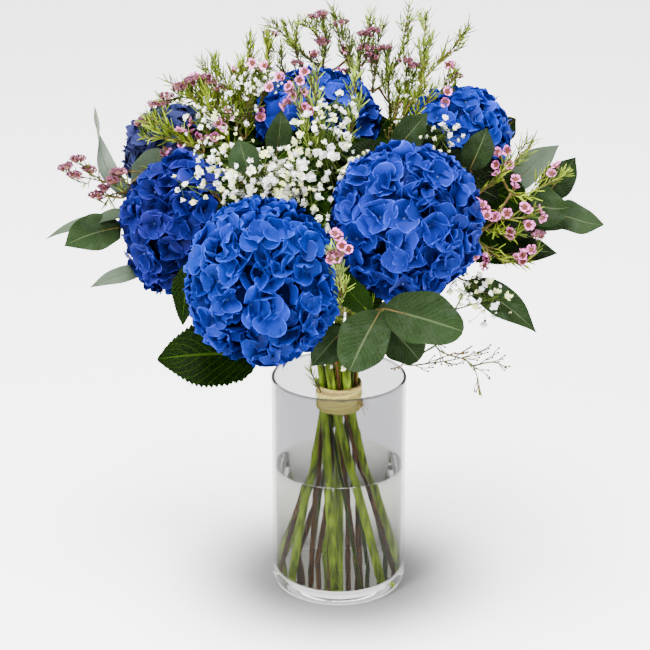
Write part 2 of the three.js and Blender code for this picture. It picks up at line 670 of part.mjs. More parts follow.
function waxflowerPlant(plant, index, placed) {
  const { ways, bodies } = wood(plant, WAXFLOWER_STEM);
  const own = [];
  const grow = (body) => {
    if (isFree(body, placed) && isFree(body, own)) {
      own.push(body);
    }
  };
  ways.forEach((path, i) => {
    const twig = i === 0 ? path.slice(-3) : path;
    const seed = 100 * (index + 1) + 7 * i + 3;
    shoots(twig, BLOOM_SHOOTS, seed).forEach(({ root, way: direction }, k) => {
      grow(waxBloom(root, direction, WAX_BLOOM_STALK + 2 * (k % 3)));
    });
    shoots(twig, NEEDLE_SHOOTS, seed + 50).forEach(({ root, way: direction }) => {
      const end = root.clone().addScaledVector(direction, NEEDLE.length);
      grow(tube([root, end], [NEEDLE.radius, 0], TWIG_SIDES));
    });
  });
  return joined([...bodies, ...own]);
}

// A cloud's own twig from the nearest wood through its middle, with florets all round it:
// each is a thin side twig swollen at its end.
function cloudTwigs(cloud, ways, seed) {
  const draw = draws(seed);
  const [middle, half] = [vector(cloud.middle), vector(cloud.half)];
  const start = nearestOn(ways, middle);
  const axis = middle.clone().sub(start).normalize();
  const far = middle.clone().add(axis.clone().multiply(half).multiplyScalar(0.6));
  const path = way([start, middle, far], 2);
  const first = SLANT.clone().cross(axis).normalize();
  const { radius, neck, stalk } = GYPSOPHILA_FLORET;
  const florets = Array.from({ length: cloud.count }, (unused, k) => {
    const level = -0.85 + (1.8 * (k + 0.5)) / cloud.count;
    const side = first.clone().applyAxisAngle(axis, k * GOLDEN_ANGLE + 0.6 * draw());
    const offset = side.multiplyScalar(Math.sqrt(1 - level * level)).addScaledVector(axis, level);
    offset.multiply(half).multiplyScalar(0.8 + 0.2 * draw());
    const end = clearOfHeads(middle.clone().add(offset), radius + 1);
    const { root } = alongPath(path, 0.3 + (0.69 * (k + 0.5)) / cloud.count);
    const direction = end.clone().sub(root).normalize();
    const low = end.clone().addScaledVector(direction, -neck);
    const tip = end.clone().addScaledVector(direction, radius);
    return tube([root, low, end, tip], [stalk, stalk, radius, 0], TWIG_SIDES);
  });
  return { twig: tube(path, tapered(path, CLOUD_TWIG_RADIUS, TWIG_RADIUS), TWIG_SIDES), florets };
}

function gypsophilaPlant(plant, index, placed) {
  const { ways, bodies } = wood(plant, GYPSOPHILA_STEM);
  const own = [];
  plant.clouds.forEach((cloud, i) => {
    const { twig, florets } = cloudTwigs(cloud, ways, 1000 * (index + 1) + 31 * i + 5);
    bodies.push(twig);
    own.push(...florets.filter((floret) => isFree(floret, placed)));
  });
  return joined([...bodies, ...own]);
}

function eucalyptusPlant(plant) {
  const { ways, bodies } = wood(plant, EUCALYPTUS_STEM);
  const leaves = plant.leaves.map((blade) =>
    leaf(nearestOn(ways, vector(blade.base)), blade, EUCALYPTUS_OUTLINE));
  return joined([...bodies, ...leaves]);
}

// Quarter arc in a turned profile, from its outer side up to its wall or down to its floor.
function roundCorner(radius, height, round, steps) {
  return Array.from({ length: steps + 1 }, (unused, i) => {
    const angle = (Math.PI / 2) * (1 - i / steps);
    return [radius - round + round * Math.cos(angle), height + round - round * Math.sin(angle)];
  });
}

function vaseBody() {
  const outside = turned([
    [0, 0], ...roundCorner(VASE_RADIUS, 0, OUTER_ROUND, 3),
    [VASE_RADIUS, VASE_HEIGHT - RIM_ROUND], [VASE_RADIUS - RIM_ROUND, VASE_HEIGHT], [0, VASE_HEIGHT],
  ], VASE_SIDES);
  const inside = turned([
    [0, GLASS_FLOOR], ...roundCorner(VASE_RADIUS - GLASS_WALL, GLASS_FLOOR, INNER_ROUND, 2),
    [VASE_RADIUS - GLASS_WALL, VASE_HEIGHT + 1], [0, VASE_HEIGHT + 1],
  ], VASE_SIDES);
  return outside.subtract(inside).simplify(0.001);
}

function waterBody(bores) {
  const radius = VASE_RADIUS - GLASS_WALL - GAP;
  const body = turned([
    [0, STEM_FOOT], ...roundCorner(radius, STEM_FOOT, INNER_ROUND, 2),
    [radius, WATER_TOP], [0, WATER_TOP],
  ], VASE_SIDES);
  return body.subtract(wasm.Manifold.union(bores));
}

function raffiaTie() {
  const [low, high] = [TIE_HEIGHT - TIE_WIDTH / 2, TIE_HEIGHT + TIE_WIDTH / 2];
  const outer = TIE_INNER + TIE_FLARE + RAFFIA_THICKNESS;
  const profile = [[TIE_INNER + TIE_FLARE, low]];
  for (let i = 0; i < RAFFIA_WRAPS; i += 1) {
    const step = TIE_WIDTH / RAFFIA_WRAPS;
    profile.push([outer - 0.5, low + i * step + 0.1], [outer, low + (i + 0.5) * step]);
  }
  profile.push([TIE_INNER + TIE_FLARE, high], [TIE_INNER, TIE_HEIGHT], profile[0]);
  const knotPlace = new THREE.Vector3(outer * 0.9, -outer * 0.52, TIE_HEIGHT - 1);
  const knot = new THREE.IcosahedronGeometry(1, 0);
  knot.scale(...KNOT_RADII).translate(...knotPlace.toArray());
  const tails = KNOT_TAILS.map((reach) => {
    const end = knotPlace.clone().add(vector(reach));
    const bend = knotPlace.clone().lerp(end, 0.6).addScaledVector(UP, 1.5);
    return tube([knotPlace, bend, end], TAIL_RADII, 3);
  });
  return joined([turned(profile, TIE_SIDES), solidOfGeometry(knot), ...tails]);
}

const bouquet = new THREE.Group();
const placed = [];
const place = (name, body, material) => {
  placed.push(body);
  bouquet.add(meshOf(name, body, material));
};

place('vase', vaseBody(), glass);
place('raffia_tie', raffiaTie(), raffia);

HEADS.forEach((head, i) => {
  place(`hydrangea_head_${head.name}`, flowerHead(head, 11 + 17 * i), bluePetals);
  place(`hydrangea_stem_${head.name}`, hydrangeaStem(head), greenStem);
});
EUCALYPTUS.forEach((plant) => {
  place(`eucalyptus_${plant.name}`, eucalyptusPlant(plant), greyLeaf);
});
WAXFLOWER.forEach((plant, i) => {
  place(`waxflower_${plant.name}`, waxflowerPlant(plant, i, placed), waxGreen);
});
GYPSOPHILA.forEach((plant, i) => {
  place(`gypsophila_${plant.name}`, gypsophilaPlant(plant, i, placed), creamFlower);
});

// Bores for the stems: each follows its stem, a gap wider, from under the water to above it.
const bore = (plant, radius) => {
  const levels = [STEM_FOOT - 2, STEM_FOOT, SHEAF_LEVELS[0]];
  const path = levels.map((height) => sheafPoint(plant, height));
  const sides = radius === HYDRANGEA_STEM ? HYDRANGEA_STEM_SIDES : TRUNK_SIDES;
  return tube(path, path.map(() => radius + BORE_CLEARANCE), sides, UP);
};
const bores = [
  ...HEADS.map((head) => bore(head, HYDRANGEA_STEM)),
  ...EUCALYPTUS.map((plant) => bore(plant, EUCALYPTUS_STEM)),
  ...WAXFLOWER.map((plant) => bore(plant, WAXFLOWER_STEM)),
  ...GYPSOPHILA.map((plant) => bore(plant, GYPSOPHILA_STEM)),
];
place('water', waterBody(bores), clearWater);

export default bouquet;
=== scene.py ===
# %% [markdown]
# Hydrangeas in a vase
#
# This lesson dresses a tied bouquet that stands in a clear glass vase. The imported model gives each
# plant, the tie, the vase and the water as a plain solid in its right place. Every cell below makes
# one kind of fine surface over those solids: petals, leaves, needles, raffia, glass and water.
# All of them are worked out as whole arrays of points, in millimetres, and become metres at the end.

import bpy
import numpy as np
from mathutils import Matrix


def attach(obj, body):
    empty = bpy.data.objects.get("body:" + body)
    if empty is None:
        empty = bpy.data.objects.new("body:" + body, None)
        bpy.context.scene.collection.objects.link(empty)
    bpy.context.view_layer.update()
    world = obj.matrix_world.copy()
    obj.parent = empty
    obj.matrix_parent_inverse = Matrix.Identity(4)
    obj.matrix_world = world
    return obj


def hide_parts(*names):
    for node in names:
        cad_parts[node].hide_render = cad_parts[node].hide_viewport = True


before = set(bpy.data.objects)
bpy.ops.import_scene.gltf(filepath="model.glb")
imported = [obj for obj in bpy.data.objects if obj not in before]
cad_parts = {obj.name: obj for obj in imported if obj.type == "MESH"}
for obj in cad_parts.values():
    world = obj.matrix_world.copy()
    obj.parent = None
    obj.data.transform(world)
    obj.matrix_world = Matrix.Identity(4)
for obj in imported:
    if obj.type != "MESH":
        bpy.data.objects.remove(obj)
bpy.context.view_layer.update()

# %% [markdown]
# Camera, floor and light
#
# A studio portrait of flowers uses a long lens a little above the rim of the vase, a white table and
# large soft lamps. The lens is long here too, so the two front heads don't swell. The camera looks
# down by about twenty degrees. One plain plane is the table, and it reaches past the picture's edge.

# %% Camera at the photograph's angle
LENS = 107.06
LOOK_DOWN = 20.18

camera = bpy.data.objects.new("camera", bpy.data.cameras.new("camera"))
bpy.context.collection.objects.link(camera)
camera.data.lens = LENS
camera.location = (-0.0124, -1.5956, 0.8333)
camera.rotation_euler = (np.radians(90 - LOOK_DOWN), 0, 0)
bpy.context.scene.camera = camera
print("camera at", tuple(round(v, 3) for v in camera.location), "looks down by", LOOK_DOWN, "degrees")

# %% White table
TABLE_REACH, TABLE_DROP = 9, 0.0004

table = bpy.data.meshes.new("table")
table.from_pydata([(x * TABLE_REACH, y * TABLE_REACH, 0) for x, y in [(-1, -1), (1, -1), (1, 1), (-1, 1)]],
                  [], [(0, 1, 2, 3)])
floor = bpy.data.objects.new("floor", table)
bpy.context.collection.objects.link(floor)
floor.location.z = -TABLE_DROP

# %% Soft lamps
BLACK, WHITE = (0, 0, 0, 1), (1, 1, 1, 1)

def soft_lamp(name, place, target, width, power):
    """A square lamp of that width that looks at the target, both in metres."""
    lamp = bpy.data.objects.new(name, bpy.data.lights.new(name, "AREA"))
    lamp.data.size = width
    lamp.data.energy = power
    lamp.location = place
    aim = lamp.location - type(lamp.location)(target)
    lamp.rotation_euler = aim.to_track_quat("Z", "Y").to_euler()
    bpy.context.collection.objects.link(lamp)

soft_lamp("lamp_above", (-0.2, -0.3, 2.3), (0, 0, 0.2), 1.1, 165)
soft_lamp("lamp_left", (-1.5, -1.9, 1.6), (0, 0, 0.3), 0.9, 90)
soft_lamp("lamp_right", (1.9, -1.3, 1.2), (0, 0, 0.3), 1.2, 30)
studio = bpy.data.worlds.new("studio")
studio.use_nodes = True
background = studio.node_tree.nodes["Background"]
background.inputs["Color"].default_value = WHITE
background.inputs["Strength"].default_value = 1.0
bpy.context.scene.world = studio

# %% [markdown]
# Words for a finish
#
# A material is a graph of nodes. The graph is easier to read as sums and products, so a small class
# wraps a number socket and lets Python's own operators add the Math nodes. One method adds any other
# node. Each finish below is then a few lines that say what the colour does along a petal or a twig.

# %% Sums of sockets
class Number:
    """A number socket of a finish; its operators add Math nodes."""

    def __init__(self, finish, socket):
        self.finish, self.socket = finish, socket

    def _sum(self, operation, first, second):
        return self.finish.node("ShaderNodeMath", {"operation": operation}, {0: first, 1: second})

    def __add__(self, other):
        return self._sum("ADD", self, other)

    def __sub__(self, other):
        return self._sum("SUBTRACT", self, other)

    def __mul__(self, other):
        return self._sum("MULTIPLY", self, other)

    def __rsub__(self, other):
        return self._sum("SUBTRACT", other, self)

    __radd__, __rmul__ = __add__, __mul__

    def larger(self, other):
        """The larger of the two."""
        return self._sum("MAXIMUM", self, other)

    def size(self):
        """The number without its sign."""
        return self._sum("ABSOLUTE", self, 0)

    def band(self, low, high):
        """0 below low, 1 above high, and a smooth step between."""
        return self.finish.node("ShaderNodeMapRange", {"interpolation_type": "SMOOTHSTEP"},
                                {"Value": self, "From Min": low, "From Max": high})

# %% One finish
class Finish:
    """A material in the making. Constants go straight to the shader's own sockets."""

    def __init__(self, name, constants):
        self.material = bpy.data.materials.new(name)
        self.material.use_nodes = True
        self.tree = self.material.node_tree
        self.shader = self.tree.nodes["Principled BSDF"]
        for socket, value in constants.items():
            self.shader.inputs[socket].default_value = value

    def feed(self, socket, value):
        if isinstance(value, Number):
            self.tree.links.new(value.socket, socket)
        else:
            socket.default_value = value

    def node(self, kind, settings=None, inputs=None, output=0):
        """Any node: its settings are set first, then its sockets get values or links."""
        node = self.tree.nodes.new(kind)
        for key, value in (settings or {}).items():
            setattr(node, key, value)
        for key, value in (inputs or {}).items():
            self.feed(node.inputs[key], value)
        return Number(self, node.outputs[output])

    def growth(self):
        """The marks that each surface carries: share along, share across and its own tone."""
        marks = self.node("ShaderNodeAttribute", {"attribute_name": "growth"}, output=1)
        return [self.node("ShaderNodeSeparateXYZ", None, {0: marks}, output=k) for k in range(3)]

    def place(self):
        """The point's own place, in metres."""
        return self.node("ShaderNodeTexCoord", output=3)

    def noise(self, scale, detail=2.0, stretch=(1, 1, 1), where=None):
        """Cloudy noise; scale is in clouds a metre, or a unit of the vector that is given."""
        scaled = self.node("ShaderNodeVectorMath", {"operation": "MULTIPLY"},
                           {0: where or self.place(), 1: [scale * s for s in stretch]})
        return self.node("ShaderNodeTexNoise", None, {"Vector": scaled, "Scale": 1.0, "Detail": detail})

    def vector(self, x, y, z):
        return self.node("ShaderNodeCombineXYZ", None, {0: x, 1: y, 2: z})

    def mix(self, low, high, share):
        """Colour from low to high by a share from 0 to 1."""
        return self.node("ShaderNodeMix", {"data_type": "RGBA"}, {0: share, 6: low, 7: high}, output=2)

    def show(self, socket, value):
        self.feed(self.shader.inputs[socket], value)
        return self

    def bump(self, height, distance, strength):
        """Relief of that height, over that distance in metres."""
        relief = self.node("ShaderNodeBump", None,
                           {"Height": height, "Distance": distance, "Strength": strength})
        return self.show("Normal", relief)

STUDIO_LIGHT, SHOULDER, LIGHTEST = 3.0, 8.2, 0.92

def rgb(red, green, blue):
    """Colour of a surface that shows about these 0 to 255 values in this bright studio: the values
    made linear, stretched by the shoulder where the picture's tones are compressed, over the light."""
    linear = ((np.array([red, green, blue]) / 255 + 0.055) / 1.055) ** 2.4
    colour = (linear + SHOULDER * linear ** 5) / STUDIO_LIGHT
    return (*np.minimum(colour, LIGHTEST), 1.0)

# %% White table top
white = Finish("white_table", {"Roughness": 0.85, "Specular IOR Level": 0.2, "Emission Strength": 2.2})
away = white.node("ShaderNodeVectorMath", {"operation": "LENGTH"}, {0: white.place()}, output=1)

# Painted shadow: the table's colour is grey under the vase, whose foot is 60 mm in radius, and white from
# 160 mm out.
white.show("Base Color", white.mix((0.36, 0.36, 0.365, 1), (0.9, 0.9, 0.91, 1), away.band(0.055, 0.16)))

# The table glows to stay white. The glow grows from the vase's foot outwards, which leaves a painted shadow
# near the foot. Under the vase the glow is painted light, where the table is seen through the thick glass
# floor.
painted_glow_under_glass = 1 - away.band(0.05, 0.058)
white.show("Emission Color", white.mix(BLACK, WHITE, away.band(0.062, 0.19) + painted_glow_under_glass))
floor.data.materials.append(white.material)

# %% [markdown]
# Two shapes make the whole bouquet
#
# Everything that grows is either a thin blade or a round rod. A blade is a grid of points, given a
# little thickness and closed along its rim: petals, leaves and strips of raffia. A rod is a row of
# rings along a path, closed by a point at each end: stems, twigs, needles, buds and stalks. Both
# functions take many shapes at once, so a head of six hundred petals is one array.

# %% Closed blades
def unit(vectors):
    """Each vector over its own length."""
    return vectors / np.maximum(np.linalg.norm(vectors, axis=-1, keepdims=True), 1e-9)

def blades(grids, thickness):
    """Closed blades from grids of points, shaped (count, rows, columns, 3).

    The normal is the cross product of the steps along rows and columns. The upper face is the grid
    with its inner points moved half the thickness along the normal, and the lower face has them as
    much the other way. Both faces share the outline, so a blade is thin at its rim like a lens.
    """
    count, rows, columns = grids.shape[:3]
    normal = unit(np.cross(np.gradient(grids, axis=1), np.gradient(grids, axis=2))) * thickness / 2
    inside = slice(1, -1)
    upper, lower = grids.copy(), (grids - normal)[:, inside, inside]
    upper[:, inside, inside] += normal[:, inside, inside]
    points = np.concatenate([upper.reshape(count, -1, 3), lower.reshape(count, -1, 3)], axis=1)
    at = np.arange(rows * columns).reshape(rows, columns)
    under = at.copy()
    under[inside, inside] = at.size + np.arange((rows - 2) * (columns - 2)).reshape(rows - 2, -1)
    top, low = [np.stack([a[:-1, :-1], a[1:, :-1], a[1:, 1:], a[:-1, 1:]], -1).reshape(-1, 4)
                for a in (at, under)]
    shift = (np.arange(count) * points.shape[1])[:, None, None]
    faces = np.concatenate([top, low[:, ::-1]])[None] + shift
    return points.reshape(-1, 3), [faces.reshape(-1, 4)]

# %% Closed rods
SLANT = np.array([0.31, 0.52, 0.79])

def ring_faces(steps, sides):
    """Quads between rings of points, and triangles to the two points that close the ends, which
    come after the rings."""
    at = np.arange(steps * sides).reshape(steps, sides)
    turn = np.roll(at, -1, axis=1)
    quads = np.stack([at[:-1], turn[:-1], turn[1:], at[1:]], -1).reshape(-1, 4)
    start, end = np.full(sides, at.size), np.full(sides, at.size + 1)
    caps = [np.stack([start, turn[0], at[0]], -1), np.stack([end, at[-1], turn[-1]], -1)]
    return quads, np.concatenate(caps)

def rods(paths, radii, sides):
    """Closed rods along paths shaped (count, steps, 3), with radii shaped (count, steps).

    Each ring stands square to the path: its first axis is the cross product of a fixed slanted
    direction and the path's own, and its second axis is square to both. A point closes each end.
    """
    count, steps = paths.shape[:2]
    axis = unit(np.gradient(paths, axis=1))
    first = unit(np.cross(SLANT, axis))
    second = np.cross(axis, first)
    angle = 2 * np.pi * np.arange(sides) / sides
    spoke = first[:, :, None] * np.cos(angle)[:, None] + second[:, :, None] * np.sin(angle)[:, None]
    rings = paths[:, :, None] + radii[:, :, None, None] * spoke
    points = np.concatenate([rings.reshape(count, -1, 3), paths[:, :1], paths[:, -1:]], axis=1)
    quads, caps = ring_faces(steps, sides)
    shift = (np.arange(count) * (steps * sides + 2))[:, None, None]
    return points.reshape(-1, 3), [(quads + shift).reshape(-1, 4), (caps + shift).reshape(-1, 3)]

def rod_marks(count, steps, sides, tone, along=None):
    """Share along a rod for every corner, as rods() orders them, and the rod's tone."""
    share = np.linspace(0, 1, steps) if along is None else along
    row = np.concatenate([np.repeat(share, sides), share[:1], share[-1:]])
    marks = np.zeros((count, len(row), 3))
    marks[:, :, 0] = row
    marks[:, :, 2] = np.broadcast_to(tone, count)[:, None]
    return marks.reshape(-1, 3)

# %% From shapes to a piece
SHARP_EDGE = 60
MILLIMETRE = 0.001

class Piece:
    """Gathers shapes with their marks and finishes, and makes them one object."""

    def __init__(self, name):
        self.name, self.size = name, 0
        self.points, self.marks, self.faces, self.which, self.finishes = [], [], [], [], []

    def add(self, shape, marks, finish):
        points, faces = shape
        if finish not in self.finishes:
            self.finishes.append(finish)
        for part in faces:
            self.faces.append(part + self.size)
            self.which.append(np.full(len(part), self.finishes.index(finish)))
        self.points.append(points)
        self.marks.append(np.broadcast_to(marks, points.shape))
        self.size += len(points)

    def make(self, slot, *nodes):
        """Puts the arrays into a mesh, rides it on the root body and hides the nodes it stands for."""
        mesh = bpy.data.meshes.new(self.name)
        mesh.vertices.add(self.size)
        mesh.vertices.foreach_set("co", (np.concatenate(self.points) * MILLIMETRE).ravel())
        corners = np.concatenate([part.ravel() for part in self.faces])
        sizes = np.concatenate([np.full(len(part), part.shape[1]) for part in self.faces])
        mesh.loops.add(len(corners))
        mesh.loops.foreach_set("vertex_index", corners)
        mesh.polygons.add(len(sizes))
        mesh.polygons.foreach_set("loop_start", np.concatenate([[0], np.cumsum(sizes)[:-1]]))
        mesh.polygons.foreach_set("material_index", np.concatenate(self.which))
        mesh.polygons.foreach_set("use_smooth", np.ones(len(sizes), bool))
        growth = mesh.attributes.new("growth", "FLOAT_VECTOR", "POINT")
        growth.data.foreach_set("vector", np.concatenate(self.marks).ravel())
        mesh.update(calc_edges=True)
        mesh.validate()
        mesh.set_sharp_from_angle(angle=np.radians(SHARP_EDGE))
        for finish in self.finishes:
            mesh.materials.append(finish.material)
        piece = bpy.data.objects.new(self.name, mesh)
        bpy.context.collection.objects.link(piece)
        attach(piece, "root")
        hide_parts(*nodes)
        print(f"{self.name}: {int((sizes - 2).sum())} triangles, {len(self.finishes)} finishes")

# %% [markdown]
# The vase
#
# The vase is a plain cylinder of clear glass with a thick floor, a rounded heel and a fire-polished rim. It
# is a profile turned about the upright axis, walked once up the outside and down the inside, so the glass
# is one closed body and light bends at both of its faces. The water is a second turned body, a hair's
# breadth inside the glass, that climbs a little at the wall, and it is given a faint painted glow. Glass in
# a white studio looks grey, and here that shade is painted into the glass's own colour: grey walls, darker
# above the water, a little lighter where water stands behind them and nearly clear in the thick floor. The
# rim gathers light and dark from all round, and that is painted as well: the rim is dark with a faint
# painted glow of its own.

# %% Turned bodies
VASE_RADIUS, VASE_HEIGHT = 60, 200
GLASS_WALL, GLASS_FLOOR = 2.8, 11
WATER_TOP = 114
TURNED_SIDES = 128

def turned(profile):
    """Closed body: the profile's radius and height pairs, first and last on the axis, turned round."""
    profile = np.array(profile, float)
    angle = 2 * np.pi * np.arange(TURNED_SIDES) / TURNED_SIDES
    radius, height = profile[1:-1, :1], profile[1:-1, 1:]
    upright = np.repeat(height, TURNED_SIDES, 1)
    rings = np.stack([radius * np.cos(angle), radius * np.sin(angle), upright], -1)
    ends = [[[0, 0, level]] for level in profile[[0, -1], 1]]
    return np.concatenate([rings.reshape(-1, 3), *ends]), [*ring_faces(len(profile) - 2, TURNED_SIDES)]

def corner_arc(radius, height, bend, first, last, steps=7):
    """Points on an arc of that bend about its own centre, from one angle to another, in degrees."""
    angle = np.radians(np.linspace(first, last, steps))
    return list(zip(radius + bend * np.cos(angle), height + bend * np.sin(angle)))

# %% Glass and water finishes
clear_glass = Finish("clear_glass", {"Roughness": 0.0, "IOR": 1.1, "Transmission Weight": 1.0,
                                     "Emission Strength": 0.07})
height = clear_glass.node("ShaderNodeSeparateXYZ", None, {0: clear_glass.place()}, output=2)
# Painted shade and painted light in the glass's own colour: grey walls, darker above the water, lighter
# below it and nearly clear in the thick floor. The rim is painted dark and given a painted glow.
above_water = height.band(0.108, 0.118)
glass_floor = 1 - height.band(0.011, 0.0125)
rim = height.band(0.1978, 0.199)
painted_wall_shade = clear_glass.mix((0.51, 0.51, 0.495, 1), (0.39, 0.39, 0.4, 1), above_water)
painted_wall_shade = clear_glass.mix(painted_wall_shade, (0.97, 0.97, 0.975, 1), glass_floor)
clear_glass.show("Base Color", clear_glass.mix(painted_wall_shade, (0.08, 0.08, 0.085, 1), rim))
clear_glass.show("Emission Color", clear_glass.mix(BLACK, WHITE, rim))
# The water is given a faint painted glow.
still_water = Finish("still_water", {"Base Color": (0.95, 0.96, 0.9, 1), "Roughness": 0.0,
                                     "IOR": 1.15, "Transmission Weight": 1.0,
                                     "Emission Color": WHITE, "Emission Strength": 0.03})

# %% Glass and water
HEEL_BEND, INNER_BEND, RIM_BEND = 8, 6, GLASS_WALL / 2
RIM_START = 198.2
GAP = 0.3  # between the glass and the water, and under the stems

inner = VASE_RADIUS - GLASS_WALL
vase = Piece("vase_glass")
vase.add(turned([(0, 0.6), (18, 0.5), (40, 0.0),
                 *corner_arc(VASE_RADIUS - HEEL_BEND, HEEL_BEND, HEEL_BEND, -90, 0),
                 *[(VASE_RADIUS, level) for level in (9, 60, 120, 170, RIM_START)],
                 *corner_arc(VASE_RADIUS - RIM_BEND, VASE_HEIGHT - RIM_BEND, RIM_BEND, 0, 180, 13),
                 *[(inner, level) for level in (RIM_START, 150, 80, GLASS_FLOOR + 7)],
                 *corner_arc(inner - INNER_BEND, GLASS_FLOOR + INNER_BEND, INNER_BEND, 0, -90)[:-1],
                 (30, GLASS_FLOOR), (0, GLASS_FLOOR)]), 0, clear_glass)
vase.make("glass", "vase")

wet = inner - GAP
climb = [(0, 1.6), (0.3, 1.7), (0.7, 1.1), (1.5, 0.4), (3, 0)]
water = Piece("vase_water")
water.add(turned([(0, GLASS_FLOOR + GAP),
                  *corner_arc(wet - INNER_BEND, GLASS_FLOOR + INNER_BEND + GAP, INNER_BEND, -90, 0),
                  (wet, 60), *[(wet - inwards, WATER_TOP + rise) for inwards, rise in climb],
                  (0, WATER_TOP)]), 0, still_water)
water.make("water", "water")

# %% [markdown]
# Where the plants stand
#
# A florist's bouquet is a twisted sheaf: the stems cross at the tie and open again below and above
# it. Here each stem has a place in one of three rings. Above the sheaf it follows a few points of its
# own, and a smooth curve joins them. Twigs and leaves are moved just clear of the flower heads.

# %% The sheaf of stems
TIE_HEIGHT, WAIST_LENGTH, SHEAF_TOP = 181, 54.4, 228
RINGS = {"middle": (0, 1), "inner": (7.05, 6), "outer": (14.1, 13)}
HEADS = {
    "front_left": ((-64, -84, 315), (61, 56, 70), "outer", 9),
    "front_right": ((54, -62, 361), (61, 57, 63), "outer", 11),
    "left": ((-135, 14, 333), (53, 50, 62), "outer", 7),
    "back_left": ((-151, 102, 374), (41, 41, 42), "outer", 5),
    "top": ((-20, 62, 415), (53, 49, 43), "middle", 0),
    "right": ((103, 46, 405), (45, 44, 41), "outer", 1),
    "back": ((18, 130, 330), (56, 52, 52), "outer", 3),
}
print("places in the rings at the tie:", sum(slots for _, slots in RINGS.values()))

def sheaf(ring, slot, heights):
    """Radius grows with the distance from the tie as a hyperbola does, while the angle turns: by the
    whole arc tangent below the tie, which makes straight lines, and by part of it above."""
    radius, slots = RINGS[ring]
    rise = (heights - TIE_HEIGHT) / WAIST_LENGTH
    radius = radius * np.hypot(1, rise)
    angle = 2 * np.pi * slot / slots - np.where(rise < 0, 1.0, 0.43) * np.arctan(rise)
    return np.stack([radius * np.cos(angle), radius * np.sin(angle), heights], -1)

def clear_of_heads(points, clearance=3.0):
    """A point inside a head's ellipsoid, widened by the clearance, moves straight out onto it."""
    for middle, half, *_ in HEADS.values():
        half = np.array(half) + clearance
        offset = (points - middle) / half
        depth = np.linalg.norm(offset, axis=-1, keepdims=True)
        points = np.where(depth < 1, middle + offset / np.maximum(depth, 1e-6) * half, points)
    return points

# %% Smooth ways through given points
def smooth_way(points, steps=6):
    """Catmull-Rom curve with square-root spacing: cubic spans whose end slopes come from the
    neighbouring points, each weighed by the square root of its distance."""
    p = np.asarray(points, float)
    p = np.vstack([2 * p[0] - p[1], p, 2 * p[-1] - p[-2]])
    gap = np.sqrt(np.maximum(np.linalg.norm(np.diff(p, axis=0), axis=1, keepdims=True), 1e-6))
    before, here, after = gap[:-2], gap[1:-1], gap[2:]
    p0, p1, p2, p3 = p[:-3], p[1:-2], p[2:-1], p[3:]
    slope1 = here * ((p1 - p0) / before - (p2 - p0) / (before + here) + (p2 - p1) / here)
    slope2 = here * ((p2 - p1) / here - (p3 - p1) / (here + after) + (p3 - p2) / after)
    t = np.linspace(0, 1, steps, endpoint=False)[None, :, None]
    spans = (p1[:, None] + slope1[:, None] * t
             + (-3 * p1 + 3 * p2 - 2 * slope1 - slope2)[:, None] * t ** 2
             + (2 * p1 - 2 * p2 + slope1 + slope2)[:, None] * t ** 3)
    return np.vstack([spans.reshape(-1, 3), p[-2]])

def resampled(path, count):
    """The same way with points at even distances."""
    run = np.concatenate([[0], np.cumsum(np.linalg.norm(np.diff(path, axis=0), axis=1))])
    even = np.linspace(0, run[-1], count)
    return np.stack([np.interp(even, run, path[:, k]) for k in range(3)], -1)

def stem_way(ring, slot, trunk, bends=True):
    """From the vase's floor through the tie to the plant's own points, clear of the heads if it
    bends for them."""
    lower = sheaf(ring, slot, np.linspace(GLASS_FLOOR + GAP, SHEAF_TOP, 28))
    lead = lower[-1] + 12 * unit(lower[-1] - lower[-2])
    upper = smooth_way([lower[-1], lead, *trunk])[1:]
    return np.vstack([lower, clear_of_heads(upper) if bends else upper])

def nearest(ways, target):
    """The point of all the ways that lies nearest to the target."""
    points = np.vstack(ways)
    return points[np.argmin(np.linalg.norm(points - target, axis=1))]

# %% [markdown]
# Petals
#
# Every bloom here is a ring of petals round an eye: four broad ones in a hydrangea floret, five
# round ones in a waxflower, and two rings of small ones in gypsophila. One function makes them all.
# It bends a petal along its length, folds it along its middle and ripples its edge, and it takes
# arrays of eyes and axes, so no petal is placed by hand.

# %% Rings of petals
def frames(axes, turns):
    """Two directions square to each axis, turned about it."""
    first = unit(np.cross(SLANT, axes))
    second = np.cross(axes, first)
    cos, sin = np.cos(turns)[..., None], np.sin(turns)[..., None]
    return first * cos + second * sin, second * cos - first * sin

